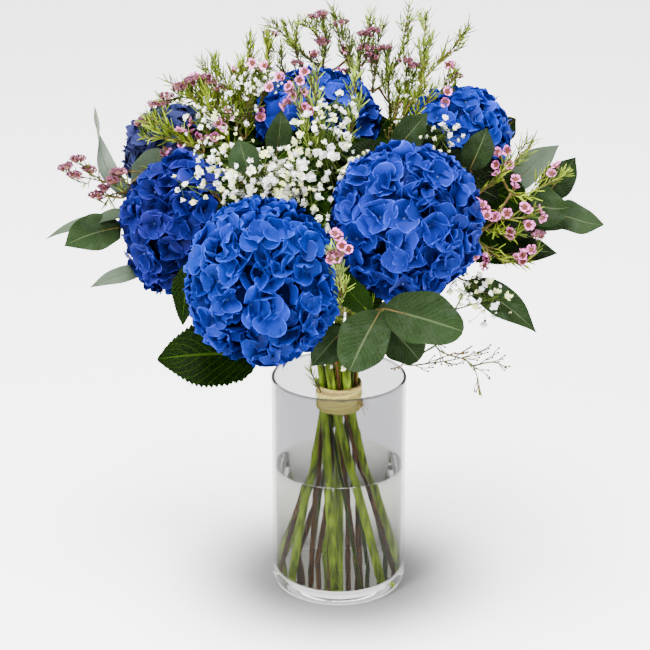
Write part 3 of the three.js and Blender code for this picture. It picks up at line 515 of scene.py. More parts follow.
def petals(eyes, axes, form, draw, tones):
    """Petal grids, shaped (count, rows, columns, 3), and their marks.

    s runs from 0 at the eye to 1 at the tip and t from -1 to 1 across. A petal goes out by
    length * (s cos a - curl s^2/2 sin a) and up by length * (s sin a + curl s^2/2 cos a), where a is
    its tilt. Its half-width is width * sin(pi s^peak)^blunt. The fold adds fold * t^2 s upwards, the
    ripple adds a wave that grows towards the edge, the twist lifts one edge by twist * s t, and the
    layer lifts every second petal.
    """
    count, ring = len(eyes), form["petals"]
    rows, columns = form["grid"]
    each_bloom = (count, 1, 1, 1)

    def vary(size, shape=(count, ring, 1, 1)):
        return size * (2 * draw.random(shape) - 1)

    s = 0.01 + 0.98 * np.sin(np.pi / 2 * np.linspace(0, 1, rows) ** 0.95)
    s, t = [a[None, None] for a in np.meshgrid(s, np.linspace(-1, 1, columns), indexing="ij")]
    turns = draw.random((count, 1)) * 2 * np.pi + 2 * np.pi * np.arange(ring) / ring
    out, side = frames(axes[:, None], turns + vary(form.get("scatter", 0.12), (count, ring)))
    tilt = form["tilt"] + vary(form["tilt_range"]) + vary(form["tilt_range"] / 2, each_bloom)
    tilt = np.radians(tilt)
    curl = np.radians(form["curl"] + vary(form["curl_range"]))
    length = form["length"] * (1 + vary(0.1) + vary(0.1, each_bloom))
    width = form["width"] * (1 + vary(0.08))
    reach = form.get("start", 0) + length * (s * np.cos(tilt) - curl * s ** 2 / 2 * np.sin(tilt))
    rise = length * (s * np.sin(tilt) + curl * s ** 2 / 2 * np.cos(tilt))
    half = width * np.maximum(np.sin(np.pi * s ** form["peak"]), 0.004) ** form["blunt"]
    wave = form["ripple"] * np.sin(2.6 * t + 5 * s + vary(3.1)) * s * (0.35 + t ** 2)
    rise = rise + (form["fold"] + vary(abs(form["fold"]))) * t ** 2 * s + wave
    rise = rise + vary(form.get("twist", 0)) * s * t
    rise = rise + form.get("layer", 0) * (np.arange(ring) % 2)[None, :, None, None]
    grids = (eyes[:, None, None, None] + out[:, :, None, None] * reach[..., None]
             + side[:, :, None, None] * (half * t)[..., None]
             + axes[:, None, None, None] * rise[..., None])
    marks = np.stack(np.broadcast_arrays(s, t, tones[:, None, None, None] + vary(0.06)), -1)
    marks = np.broadcast_to(marks, grids.shape)
    return grids.reshape(-1, rows, columns, 3), marks.reshape(-1, rows, columns, 3)

def add_petals(piece, grids, marks, thickness, finish):
    """Blades whose two faces carry the same marks."""
    count = len(grids)
    inner_marks = marks[:, 1:-1, 1:-1].reshape(count, -1, 3)
    both = np.concatenate([marks.reshape(count, -1, 3), inner_marks], axis=1)
    piece.add(blades(grids, thickness), both.reshape(-1, 3), finish)

def beads(centres, axes, radius, stretch, steps=4):
    """Paths and radii of small round rods: rings of a sphere stretched along its axis."""
    angle = np.linspace(0.25, np.pi - 0.25, steps)
    height = -np.cos(angle) * stretch
    paths = centres[:, None] + axes[:, None] * (radius * height)[None, :, None]
    return paths, np.broadcast_to(radius * np.sin(angle), (len(centres), steps))

# %% [markdown]
# Hydrangea petals
#
# A hydrangea petal is soft and matt. It is deepest in colour at the eye, fine veins run out to the edge,
# and the edge itself is thin and pale, which draws a light line round every petal: partly the petal's own
# colour and partly a painted highlight, stronger on the florets that are painted lighter. The marks say how
# far a point is along and across its petal, so the line and veins follow its shape. Heads differ a little:
# azure and cobalt in front, more violet at the left, and a dusky one behind it.

# %% Petal finishes
def petal_finish(name, deep, clear, other, pale):
    finish = Finish(name, {"Roughness": 0.6, "Specular IOR Level": 0.06})
    along, across, tone = finish.growth()
    veins = finish.noise(1.0, 3.0, where=finish.vector(along * 2.5, across * 7, tone * 37))
    cloud = finish.noise(38, 2.0)
    # The tone that each floret gets from its head paints light and shade, so here it lightens the florets
    # on top and darkens the deep ones.
    light = (along * 0.5 + tone * 0.8 + (veins - 0.5) * 0.5 + (cloud - 0.5) * 0.6).band(0.05, 1.2)
    colour = finish.mix(deep, finish.mix(clear, other, finish.noise(26, 1.0).band(0.42, 0.66) * 0.8), light)
    # The pale rim is partly the petal's own colour and partly a painted highlight, stronger on the florets
    # whose tone paints them lighter.
    rim = across.size().larger(along).band(0.86, 1.0)
    colour = finish.mix(colour, pale, rim * (0.08 + 0.46 * tone))
    colour = finish.mix(colour, rgb(70, 100, 190), (1 - along.band(0.02, 0.12)) * 0.6)
    finish.show("Base Color", colour)
    return finish.bump(veins, 0.0004, 0.5)

azure = petal_finish("petals_azure", rgb(1, 12, 70), rgb(20, 70, 186), rgb(46, 82, 198), rgb(108, 148, 234))
cobalt = petal_finish("petals_cobalt", rgb(3, 10, 66), rgb(30, 60, 178), rgb(54, 84, 200),
                      rgb(118, 146, 230))
violet = petal_finish("petals_violet", rgb(2, 7, 58), rgb(26, 44, 160), rgb(60, 60, 178),
                      rgb(106, 120, 214))
dusky = petal_finish("petals_dusky", rgb(22, 30, 62), rgb(58, 70, 134), rgb(76, 78, 148),
                     rgb(110, 118, 178))
eye_finish = Finish("floret_eyes", {"Base Color": rgb(60, 90, 170), "Roughness": 0.5})
# Painted shade: the head's core is dark blue, for the shade inside the head.
painted_shade_core = Finish("head_shade_core", {"Roughness": 0.9, "Specular IOR Level": 0.01})
painted_shade_core.show("Base Color", painted_shade_core.mix(rgb(3, 8, 40), rgb(8, 20, 80), painted_shade_core.noise(300)))

# %% [markdown]
# Hydrangea heads
#
# A mophead is a ball of florets that stand shoulder to shoulder and hide its twigs. The florets' eyes are
# spread over the head by the golden angle, which leaves no rows and no gaps, then nudged at random. Each
# floret faces outwards with a small tilt of its own, and those that lie deeper show in the gaps as dark
# hollows. Each floret's tone holds a random part and painted light and shade: lighter on the upper side of
# the head, and darker the deeper the floret lies. A dark blue core closes the head, as the imported twigs
# do, and paints the shade inside it.

# %% One head
FLORET = {"petals": 4, "grid": (7, 5), "length": 16.6, "width": 9.9, "tilt": 33, "tilt_range": 28,
          "curl": -6, "curl_range": 85, "peak": 1.14, "blunt": 0.46, "fold": 2.6, "ripple": 2.5,
          "twist": 4.4, "layer": 0.6, "scatter": 0.25}
FLORET_AREA = 290
CORE_SHARE = 0.78
HEAD_LEAN = 110.0
GOLDEN_ANGLE = np.pi * (3 - np.sqrt(5))

def golden_directions(count, reach, pole):
    """Unit directions at even heights from the pole down, each turned on by the golden angle."""
    level = 1 - reach * (np.arange(count) + 0.5) / count
    ring = np.sqrt(1 - level ** 2)
    angle = np.arange(count) * GOLDEN_ANGLE
    first, second = frames(np.array(pole, float), np.zeros(()))
    return (first * (ring * np.cos(angle))[:, None] + second * (ring * np.sin(angle))[:, None]
            + pole * level[:, None])

def head_form(name):
    """A head's middle, its half sizes and its axis, which leans more the farther out it stands."""
    middle, half = [np.array(row, float) for row in HEADS[name][:2]]
    return middle, half, unit(np.array([middle[0], middle[1], HEAD_LEAN]))

def flower_head(name, finish, seed):
    """Florets over nearly the whole ellipsoid of a head, their eyes and a core. Petal points that
    reach beyond the ellipsoid are drawn back to two fifths of that distance."""
    middle, half, axis = head_form(name)
    draw = np.random.default_rng(seed)
    area = 4 * np.pi * np.mean([half[0] * half[1], half[0] * half[2], half[1] * half[2]])
    count = int(area / FLORET_AREA)
    way_out = unit(golden_directions(count, 1.86, axis) + draw.normal(0, 0.045, (count, 3)))
    share = 0.905 - 0.17 * draw.random(count) ** 1.5
    lumps = np.sin(way_out @ draw.normal(0, 3.4, (3, 4)) + draw.random(4) * 6).sum(1)
    share = share + 0.01 * lumps
    eyes = middle + way_out * half * share[:, None]
    faces = unit(unit(way_out / half) + draw.normal(0, 0.26, (count, 3)))
    # A random part plus painted light and shade: the tone lightens florets on the upper side of the head
    # and darkens those that lie deeper.
    tones = 0.35 * draw.random(count) + 0.3 * (0.5 + 0.5 * way_out[:, 2]) + 2.0 * (share - 0.8)
    grids, marks = petals(eyes, faces, FLORET, draw, tones)
    offset = (grids - middle) / half
    depth = np.linalg.norm(offset, axis=-1, keepdims=True)
    grids = middle + offset * half * np.where(depth > 1.0, (1 + (depth - 1) * 0.4) / depth, 1)
    piece = Piece(f"head_{name}")
    add_petals(piece, grids, marks, 0.35, finish)
    paths, radii = beads(eyes + faces * 1.1, faces, 1.25, 0.8, 3)
    piece.add(rods(paths, radii, 5), rod_marks(count, 3, 5, 0.5), eye_finish)
    turns = np.linspace(-1, 1, 12)
    core = middle + np.outer(turns, axis) * half * CORE_SHARE
    ring = CORE_SHARE * np.sqrt(1.02 - turns ** 2) * half.mean()
    piece.add(rods(core[None], ring[None], 20), rod_marks(1, 12, 20, 0.5), painted_shade_core)
    piece.make("hydrangea_petal", f"hydrangea_head_{name}")

# %% Seven heads
for number, (name, finish) in enumerate([("front_left", azure), ("front_right", cobalt), ("left", violet),
                                         ("back_left", dusky), ("top", cobalt), ("right", azure),
                                         ("back", violet)]):
    flower_head(name, finish, 40 + number)

# %% [markdown]
# Wood and leaf
#
# A leaf is a blade on a stalk. Its midrib bows away from the twig and its halves rise like a shallow
# trough. Veins branch from the midrib, and on a hydrangea leaf the skin puffs up between them and the
# edge is toothed. The finish reads the same marks as the petals do, so every vein runs from the
# midrib to the edge of its own leaf, whatever way that leaf has been bent.

# %% Leaf blades
STALK_STEPS = 22

def leaf(piece, root, row, outline, veins, finish, stalk_finish, rows=23, columns=11):
    """Adds one leaf, whose row holds base, tip, width, face, tone and, where they differ from plain,
    arch, sway, bow and twist. Its midrib leaves the straight line from base to tip by
    arch * 4 s (1 - s) towards its face, and by sway * sin(2 pi s) (1 - s/2) and bow * sin(pi s) to
    the side, all times its length. Its blade reaches t * outline(s) * width / 2 to the side, raised
    at the edges, and turns about the midrib by twist * s^3. A stalk joins it to its root."""
    base, tip, width, face, tone, *more = row
    arch, sway, bow, twist = [*more, *(0.12, 0.0, 0.0, 0.0)[len(more):]]
    base, tip, face = np.array(base, float), np.array(tip, float), unit(np.array(face, float))
    s = 0.004 + 0.992 * np.linspace(0, 1, rows) ** 0.9
    s, t = np.meshgrid(s, np.linspace(-1, 1, columns), indexing="ij")
    run = tip - base
    size = np.linalg.norm(run)
    side = unit(np.cross(face, run))
    uneven = 1 + 0.05 * np.sin(11 * s + 5 * np.sign(t) + 20 * tone) * np.abs(t)
    half = outline(s, t) * width / 2 * uneven
    aside = size * (sway * np.sin(2 * np.pi * s) * (1 - 0.5 * s) + bow * np.sin(np.pi * s))
    middle = (base + run * s[..., None] + face * (arch * size * 4 * s * (1 - s))[..., None]
              + side * aside[..., None])
    cos, sin = np.cos(twist * s ** 3)[..., None], np.sin(twist * s ** 3)[..., None]
    trough = 0.2 * np.sqrt((half * t) ** 2 + 2)
    wave = 0.035 * width * np.sin(7 * s + 9 * tone + 2 * np.sign(t)) * t ** 2
    puff = veins(s, t) * 0.5
    grid = (middle + (side * cos + face * sin) * (half * t)[..., None]
            + (face * cos - side * sin) * (trough + wave + puff)[..., None])
    grid = clear_of_heads(grid)
    marks = np.stack([s, t, np.full_like(s, tone)], -1)
    add_petals(piece, grid[None], marks[None], 0.4, finish)
    ridge = clear_of_heads(middle[:, columns // 2] - face * 0.15)
    stalk = smooth_way([root, root * 0.45 + base * 0.55 - face * 0.06 * size, ridge[0]], 5)
    path = resampled(np.vstack([stalk[:-1], ridge[:-2]]), STALK_STEPS)
    radii = np.linspace(1.25, 0.3, STALK_STEPS)
    piece.add(rods(path[None], radii[None], 5), rod_marks(1, STALK_STEPS, 5, tone), stalk_finish)

# %% Stem and leaf finishes
def stem_finish(name, dark, light, speck, speck_share, grain):
    """Skin with long streaks and small specks, darker where the marks paint shade on it, and a grain that
    is that deep in metres."""
    finish = Finish(name, {"Roughness": 0.5, "Specular IOR Level": 0.08})
    along, painted_shade, tone = finish.growth()
    streak = finish.noise(260, 3.0, stretch=(1, 1, 0.12))
    specks = finish.noise(900, 1.0).band(0.62 - speck_share, 0.7)
    # Painted shade darkens the streaks where the marks give it.
    colour = finish.mix(dark, light, streak.band(0.22, 0.72) * (1 - 0.9 * painted_shade))
    finish.show("Base Color", finish.mix(colour, speck, specks * 0.8))
    return finish.bump(streak, grain, 0.6)

green_stem = stem_finish("green_stem", rgb(84, 102, 22), rgb(204, 216, 86), rgb(92, 68, 30), 0.03, 0.0003)
brown_stem = stem_finish("brown_stem", rgb(70, 46, 20), rgb(172, 130, 76), rgb(48, 30, 14), 0.05, 0.0008)
olive_twig = stem_finish("olive_twig", rgb(106, 88, 46), rgb(162, 146, 86), rgb(122, 78, 58), 0.04, 0.0004)
thin_green = stem_finish("thin_green", rgb(62, 84, 22), rgb(118, 144, 56), rgb(70, 80, 30), 0.0, 0.0002)

def leaf_finish(name, dark, light, vein, rib_count, slope, gloss, bloom, silver, vein_share):
    """Blade with a midrib, side veins and a fine mesh: a vein lies where the share along, less the slope
    times the share across, is a whole step. The tone goes from dark over light and silver to a palest bloom
    above 1; each leaf's tone is partly its own colour and partly painted light and shade."""
    finish = Finish(name, {"Roughness": gloss, "Specular IOR Level": 0.015})
    along, across, tone = finish.growth()
    phase = (along - across.size() * slope) * rib_count
    wiggle = finish.noise(120, 2.0)
    phase = finish.node("ShaderNodeMath", {"operation": "PINGPONG"}, {0: phase + wiggle * 0.3, 1: 0.5})
    side_vein = 1 - phase.band(0.0, 0.09)
    midrib = 1 - across.size().band(0.015, 0.06)
    net = finish.noise(900, 2.0)
    cells = finish.node("ShaderNodeTexVoronoi", {"feature": "DISTANCE_TO_EDGE"},
                        {"Vector": finish.place(), "Scale": 380.0})
    mesh = 1 - cells.band(0.0, 0.2)
    clouds = (finish.noise(60, 3.0) - 0.5) * 0.7
    # The tone paints each leaf's light and shade as well as its own colour.
    body = finish.mix(dark, light, (tone + clouds + (net - 0.5) * 0.2).band(0.0, 0.6))
    body = finish.mix(body, silver, tone.band(0.55, 1.0))
    body = finish.mix(body, bloom, finish.noise(90, 4.0).band(0.45, 0.7) * 0.6 * tone)
    body = finish.mix(body, rgb(166, 176, 166), tone.band(1.0, 1.4) * 0.9)
    lines = (side_vein * net * 2 * vein_share).larger(midrib * 0.8).larger(mesh * 0.3 * vein_share)
    finish.show("Base Color", finish.mix(body, vein, lines))
    return finish.bump(net * 0.3 - side_vein * 0.8 - midrib, 0.0005, 0.7)

RIBS, RIB_SLOPE = 9, 0.42
fresh_leaf = leaf_finish("hydrangea_leaf", rgb(6, 24, 2), rgb(24, 54, 4), rgb(76, 112, 30),
                         RIBS, RIB_SLOPE, 0.5, rgb(30, 62, 8), rgb(40, 74, 12), 0.6)
grey_leaf = leaf_finish("eucalyptus_leaf", rgb(12, 28, 10), rgb(56, 82, 44), rgb(126, 144, 100),
                        13, 0.3, 0.55, rgb(104, 122, 100), rgb(146, 160, 144), 0.34)

# %% Hydrangea leaves
LEAST_WIDTH = 0.02

def leaf_outline(s, peak, blunt, teeth=1):
    """Half-width at s as a share of the widest: sin(pi s^peak)^blunt, times its teeth."""
    return np.maximum(np.sin(np.pi * s ** peak), 0) ** blunt * teeth + LEAST_WIDTH

def toothed(s, t):
    """Broad and pointed, with teeth that lean to the tip."""
    return leaf_outline(s, 0.8, 0.6 + 0.3 * s, 1 + 0.075 * np.abs(t) ** 6 * (1 - 2 * np.mod(s * 21, 1)))

def pointed(s, t):
    """The same outline without its teeth, for the leaves among the heads."""
    return leaf_outline(s, 0.8, 0.6 + 0.3 * s)

def quilted(s, t):
    """Skin that puffs up between the side veins that the finish draws."""
    puff = np.abs(np.sin(np.pi * RIBS * (s - RIB_SLOPE * np.abs(t))))
    return 1.4 * puff * (1 - t ** 2) * np.sin(np.pi * s)

# A leaf's tone, the fifth entry of its row, paints its light and shade besides its own colour.
HYDRANGEA_LEAVES = {
    "front_left": [((-70, -62, 242), (-155, -66, 240), 62, (-0.1, -0.75, 0.65), 0.12, 0.08)],
    "front_right": [((26, -82, 288), (-4, -80, 332), 26, (-0.4, -0.9, 0.2), 0.5, 0.2),
                    ((6, -38, 286), (40, -58, 304), 40, (-0.2, -0.9, 0.2), 0.15),
                    ((-4, -46, 306), (12, -52, 352), 34, (-0.1, -1.0, 0.1), 0.1),
                    ((10, -34, 252), (-20, -44, 236), 30, (0.0, -0.8, 0.6), 0.2)],
    "left": [((-124, -48, 322), (-133, -58, 268), 24, (-0.4, -0.9, 0.1), 0.1, 0.06),
             ((-84, 42, 262), (-146, 86, 258), 44, (-0.2, 0.3, 0.9), 0.5)],
    "back_left": [((-96, 92, 318), (-112, 158, 322), 42, (-0.1, 0.5, 0.8), 0.5)],
    "top": [],
    "right": [((74, 56, 330), (132, 84, 322), 40, (0.4, 0.2, 0.8), 0.4),
              ((110, 2, 344), (158, -2, 322), 40, (0.1, -0.8, 0.6), 0.3),
              ((114, 10, 372), (166, 6, 350), 42, (0.1, -0.9, 0.4), 0.22),
              ((104, 6, 326), (150, 2, 304), 34, (0.1, -0.8, 0.6), 0.45)],
    "back": [((-8, 92, 262), (-46, 152, 254), 50, (-0.2, 0.4, 0.8), 0.6),
             ((30, 86, 256), (74, 146, 250), 48, (0.3, 0.4, 0.8), 0.5)],
}

# %% Leaves among the heads
STEM_STEPS, STEM_SIDES = 70, 12

def head_stem(name):
    """The way of a head's stem, which ends inside the head's core."""
    middle, half, axis = head_form(name)
    ring, slot = HEADS[name][2:]
    end = middle - axis * (0.52 / np.linalg.norm(axis / half) + 0.45)
    return resampled(stem_way(ring, slot, [end - 40 * axis, end], bends=False), STEM_STEPS)

STEM_WAYS = {name: head_stem(name) for name in HEADS}

def backing_leaves(count):
    """Leaves that lie on an ellipsoid among the heads, with low tones that paint them dark with the shade
    there, each with the stem whose upper part is nearest to it."""
    draw = np.random.default_rng(21)
    rows = {name: [] for name in HEADS}
    for out in golden_directions(count, 1.7, np.array([0, 0, 1.0])):
        centre = np.array([-10, 20, 325]) + out * [104, 84, 80]
        first, second = frames(out, np.zeros(()))
        turn = draw.random() * 6.3
        reach = (first * np.cos(turn) + second * np.sin(turn)) * (24 + 10 * draw.random())
        name = min(STEM_WAYS, key=lambda n: np.linalg.norm(STEM_WAYS[n][40:] - centre, axis=1).min())
        base, tip = sorted([centre - reach, centre + reach],
                           key=lambda end: np.linalg.norm(end - STEM_WAYS[name][50]))
        rows[name].append((base, tip, 40 + 12 * draw.random(), out, 0.05 + 0.35 * draw.random()))
    return rows

BACKING = backing_leaves(30)
# The added leaves get a low tone too: painted shade among the heads.
EXTRA_REACH, EXTRA_WIDTH, EXTRA_TONE = 30, 46, 0.18
EXTRA_LEAVES = [
    ((-92, 46, 392), (-0.3, -0.8, 0.5), 0.3, "back_left"),
    ((-66, 74, 414), (0.0, -0.7, 0.7), 1.2, "top"),
    ((-108, 88, 392), (-0.3, 0.2, 0.9), 2.0, "back_left"),
    ((-62, 30, 380), (-0.1, -0.8, 0.5), 2.6, "top"),
    ((44, 56, 392), (0.2, -0.7, 0.7), 0.8, "right"),
    ((52, 14, 386), (0.3, -0.8, 0.5), 2.2, "right"),
    ((-36, 6, 384), (-0.1, -0.8, 0.5), 1.5, "top"),
    ((8, 10, 388), (0.1, -0.8, 0.5), 0.4, "top"),
    ((30, 104, 398), (0.2, 0.5, 0.8), 1.0, "top"),
    ((-92, 112, 376), (-0.2, 0.6, 0.7), 0.2, "back_left"),
    ((70, 84, 384), (0.4, 0.6, 0.6), 2.4, "right"),
    ((-50, 104, 388), (-0.1, 0.7, 0.7), 1.1, "top"),
    ((-20, -30, 366), (-0.1, -0.9, 0.3), 1.3, "front_right"),
    ((-84, -4, 362), (-0.3, -0.8, 0.4), 0.9, "left"),
]
for place, face, turn, name in EXTRA_LEAVES:
    first, _ = frames(unit(np.array(face)), np.array(turn))
    ends = np.array(place) - first * EXTRA_REACH, np.array(place) + first * EXTRA_REACH
    BACKING[name].append((*ends, EXTRA_WIDTH, face, EXTRA_TONE))
print("leaves among the heads:", {name: len(rows) for name, rows in BACKING.items()})

# %% Seven hydrangea stems
PAINTED_SHADE_START, PAINTED_SHADE_DEPTH = 194, 20

def hydrangea_stem(name):
    """A thick stem with slight knuckles that ends under its head, and its leaves. A rod has no use for the
    share across, so on a stem that mark carries the painted shade above the vase's rim."""
    slot, path = HEADS[name][3], STEM_WAYS[name]
    along = np.linspace(0, 1, STEM_STEPS)
    radii = 3.7 + 0.7 * np.exp(-((np.mod(along * 6 + slot * 0.37, 1) - 0.5) / 0.04) ** 2)
    radii[-1] = 2.2
    piece = Piece(f"stem_{name}")
    marks = rod_marks(1, STEM_STEPS, STEM_SIDES, 0.5)
    heights = np.concatenate([np.repeat(path[:, 2], STEM_SIDES), path[[0, -1], 2]])
    marks[:, 1] = np.clip((heights - PAINTED_SHADE_START) / PAINTED_SHADE_DEPTH, 0, 1)
    piece.add(rods(path[None], radii[None], STEM_SIDES), marks, green_stem)
    for row in HYDRANGEA_LEAVES[name]:
        root = nearest([path], np.array(row[0]))
        leaf(piece, root, row, toothed, quilted, fresh_leaf, green_stem, 61, 13)
    for row in BACKING[name]:
        root = nearest([path], np.array(row[0]))
        leaf(piece, root, row, pointed, quilted, fresh_leaf, green_stem, 23, 7)
    piece.make("hydrangea_green", f"hydrangea_stem_{name}")

for name in HEADS:
    hydrangea_stem(name)

# %% [markdown]
# Eucalyptus
#
# The grey leaves are eucalyptus: smooth, thick and dull with a waxy bloom, from long and narrow to nearly
# round. They have no teeth, and their skin doesn't puff up. Their tone goes from almost black green in the
# shade of the bouquet to silver at its edge: it is partly the leaf's own colour and partly painted light
# and shade, so each row of the table carries its leaf's tone.

# %% Trunks and limbs
NARROW, BROAD = 13, 38

def smooth_edge(s, t):
    """Widest near its base, with a long tip."""
    return leaf_outline(s, 0.8, 0.55 + 0.55 * s)

def round_edge(s, t):
    """Nearly an ellipse, for the broad leaves."""
    return leaf_outline(s, 0.95, 0.5)

def ribbon_edge(s, t):
    """Of one width for most of its length, for the narrow leaves."""
    return leaf_outline(s, 0.9, 0.5)

def flat(s, t):
    """Skin that doesn't puff up."""
    return 0 * s

def wood(piece, ring, slot, trunk, limbs, radius, finish, lower_finish):
    """Rods along the trunk and along each limb from the nearest wood. Returns their ways."""
    ways = [stem_way(ring, slot, trunk)]
    for points in limbs:
        root = nearest(ways, np.array(points[0]))
        ways.append(clear_of_heads(smooth_way([root, *points])))
    for number, way in enumerate(ways):
        count = 60 if number == 0 else 24
        path = resampled(way, count)
        start = radius if number == 0 else radius * 0.6
        radii = np.linspace(start, radius * 0.24, count)
        radii = radii * (1 + 0.1 * np.sin(np.arange(count) * 2.1 + slot))
        piece.add(rods(path[None], radii[None], 8), rod_marks(1, count, 8, 0.5),
                  lower_finish if number == 0 else finish)
    return ways

# %% Where the eucalyptus leaves are
# Each stem has its ring and place, its trunk's points, its limbs and the rows of its leaves.
EUCALYPTUS = {
    "left": ("outer", 6,
             [(-48, 36, 258), (-98, 66, 296), (-150, 72, 318), (-190, 44, 332), (-204, 24, 362)],
             [[(-180, 58, 344), (-176, 52, 364)]], [
        ((-175, 14, 356), (-209, 18, 440), 16, (0.3, -0.95, 0.1), 1.4, 0.03, 0.02, 0.14, 3.4),
        ((-178, 30, 340), (-217, 14, 334), 13, (-0.2, -0.5, 0.85), 0.75, 0.12),
        ((-196, 38, 330), (-259, 30, 316), 14, (-0.1, -0.5, 0.8), 0.8),
        ((-188, 22, 330), (-237, -8, 322), 36, (-0.2, -0.8, 0.6), 0.5),
        ((-168, 6, 296), (-216, -12, 286), 15, (-0.1, -0.8, 0.6), 0.85),
        ((-167, 42, 344), (-157, 45, 395), 39, (-0.1, -0.85, 0.45), 0.8, 0.03),
        ((-158, 84, 322), (-196, 112, 318), 26, (-0.4, 0.4, 0.8), 0.4)]),
    "front": ("outer", 10, [(3, -42, 252), (16, -68, 276), (30, -92, 294)], [], [
        ((36, -103, 299), (100, -122, 286), 44, (0.1, -0.85, 0.5), 0.46, 0.06),
        ((33, -101, 296), (8, -126, 253), 42, (-0.2, -0.9, 0.4), 0.42, 0.1),
        ((40, -84, 276), (66, -94, 250), 39, (0.3, -0.8, 0.5), 0.4, 0.06),
        ((4, -56, 264), (-24, -72, 236), 30, (-0.1, -0.9, 0.4), 0.42, 0.1)]),
    "right": ("outer", 0, [(52, -6, 262), (88, -2, 300), (118, 6, 332), (150, 14, 348), (176, 14, 352)],
              [[(126, -2, 358), (118, -14, 384)], [(104, -18, 296), (116, -30, 298)]], [
        ((110, -14, 392), (124, -12, 428), 26, (0.1, -0.9, 0.4), 0.3),
        ((146, 20, 362), (189, 18, 405), 26, (-0.2, -0.8, 0.6), 0.82, 0.12, 0.0, 0.0, 0.5),
        ((176, 14, 358), (202, 8, 397), 29, (0.2, -0.85, 0.4), 0.2, 0.06),
        ((160, 6, 350), (199, -2, 356), 36, (0.1, -0.85, 0.5), 0.5, 0.06, 0.06),
        ((166, 4, 348), (196, 0, 336), 22, (0.1, -0.85, 0.5), 0.45, 0.06),
        ((182, 10, 342), (229, 6, 337), 31, (0.1, -0.7, 0.7), 0.62, 0.06, 0.05),
        ((136, -6, 312), (187, -18, 319), 24, (0.1, -0.7, 0.7), 0.1),
        ((128, -2, 336), (168, -14, 334), 24, (0.1, -0.6, 0.8), 0.1),
        ((106, -34, 298), (167, -62, 262), 31, (0.3, -0.7, 0.7), 0.36, 0.1),
        ((112, -6, 366), (148, 0, 392), 18, (0.2, -0.8, 0.6), 0.15),
        ((88, 2, 392), (138, -6, 386), 36, (0.1, -0.9, 0.3), 0.05),
        ((98, -10, 384), (136, -12, 366), 34, (0.2, -0.9, 0.2), 0.02),
        ((130, 6, 346), (180, 4, 330), 30, (0.1, -0.9, 0.3), 0.08),
        ((128, 10, 360), (176, 8, 338), 26, (0.1, -0.9, 0.3), 0.05),
        ((84, 8, 398), (72, 2, 428), 26, (-0.2, -0.9, 0.3), 0.25)]),
    "top": ("inner", 3, [(-14, 2, 270), (-26, 0, 320), (-42, 0, 368), (-54, 4, 396)],
            [[(2, -2, 356), (22, -2, 388), (44, 4, 404)]], [
        ((-54, 0, 398), (-49, -4, 442), 22, (0.1, -0.9, 0.3), 0.58, 0.06),
        ((-75, -57, 401), (-83, -56, 430), 26, (-0.1, -0.9, 0.4), 0.6, 0.05),
        ((44, -16, 398), (-4, -22, 406), 30, (0.1, -0.8, 0.6), 0.1, 0.1),
        ((48, -2, 406), (74, -8, 440), 26, (-0.1, -0.9, 0.4), 0.4, 0.06),
        ((62, 4, 396), (98, 0, 404), 30, (0.1, -0.9, 0.4), 0.08)]),
    "back": ("outer", 2, [(44, 52, 262), (84, 88, 300), (112, 104, 340), (124, 104, 374)], [], [
        ((94, 96, 308), (132, 134, 300), 28, (0.3, 0.3, 0.9), 0.4),
        ((114, 106, 342), (160, 112, 346), 26, (0.4, 0.1, 0.9), 0.4),
        ((112, 112, 344), (114, 154, 364), 26, (0.1, 0.3, 0.9), 0.5),
        ((126, 104, 378), (158, 88, 410), 24, (0.8, 0.2, 0.6), 0.4),
        ((124, 108, 382), (104, 122, 422), 22, (0.3, 0.9, 0.3), 0.5),
        ((70, 82, 284), (92, 118, 262), 24, (0.5, 0.4, 0.8), 0.3)]),
}

# %% Five leafy stems
for name, (ring, slot, trunk, limbs, leaves) in EUCALYPTUS.items():
    piece = Piece(f"eucalyptus_{name}_leaves")
    ways = wood(piece, ring, slot, trunk, limbs, 2.4, olive_twig, brown_stem)
    for row in leaves:
        edge = round_edge if row[2] > BROAD else ribbon_edge if row[2] <= NARROW else smooth_edge
        leaf(piece, nearest(ways, np.array(row[0])), row, edge, flat, grey_leaf, olive_twig)
    piece.make("eucalyptus_leaf", f"eucalyptus_{name}")

# %% [markdown]
# Waxflower
#
# Waxflower has wiry brownish twigs with needles in pairs, each pair turned on from the one before,
# and small waxy cups of five round petals on stalks near the tips. Each limb puts out side twigs by
# the golden angle. Needles and cups are then set along all of them in one go. Where the blooms are
# still small they stand in flat mauve heads, whose stalks all leave one point.

# %% Side twigs and needles
def side_twigs(ways, draw, spacing, length, spread, lift=0.2):
    """Short twigs that leave a way at even distances, lean out by the spread and bend upwards. Each
    is as long as the rest of its way allows, so that a limb and its twigs end at one level."""
    found = []
    t = np.linspace(0, 1, 10)[None, :, None]
    for way in ways:
        run = np.linalg.norm(np.diff(way, axis=0), axis=1).sum()
        count = max(int(run * 0.75 / spacing), 2)
        path = resampled(way, 40)
        share = 0.18 + 0.76 * (np.arange(count) + 0.5) / count
        at = (share * 39).astype(int)
        axis = unit(np.gradient(path, axis=0))[at]
        out, _ = frames(axis, np.arange(count) * GOLDEN_ANGLE + draw.random() * 6)
        size = np.minimum(length * (0.7 + 0.5 * draw.random(count)), (1.02 - share) * run + 4)
        size = size[:, None, None]
        onwards = (1 - spread * (1 - 0.5 * t)) * axis[:, None]
        outwards = spread * (1 - 0.4 * t) * out[:, None]
        path = path[at][:, None] + size * t * (onwards + outwards)
        path[..., 2] += (size * lift * t ** 2)[..., 0]
        found.extend(clear_of_heads(path))
    return found

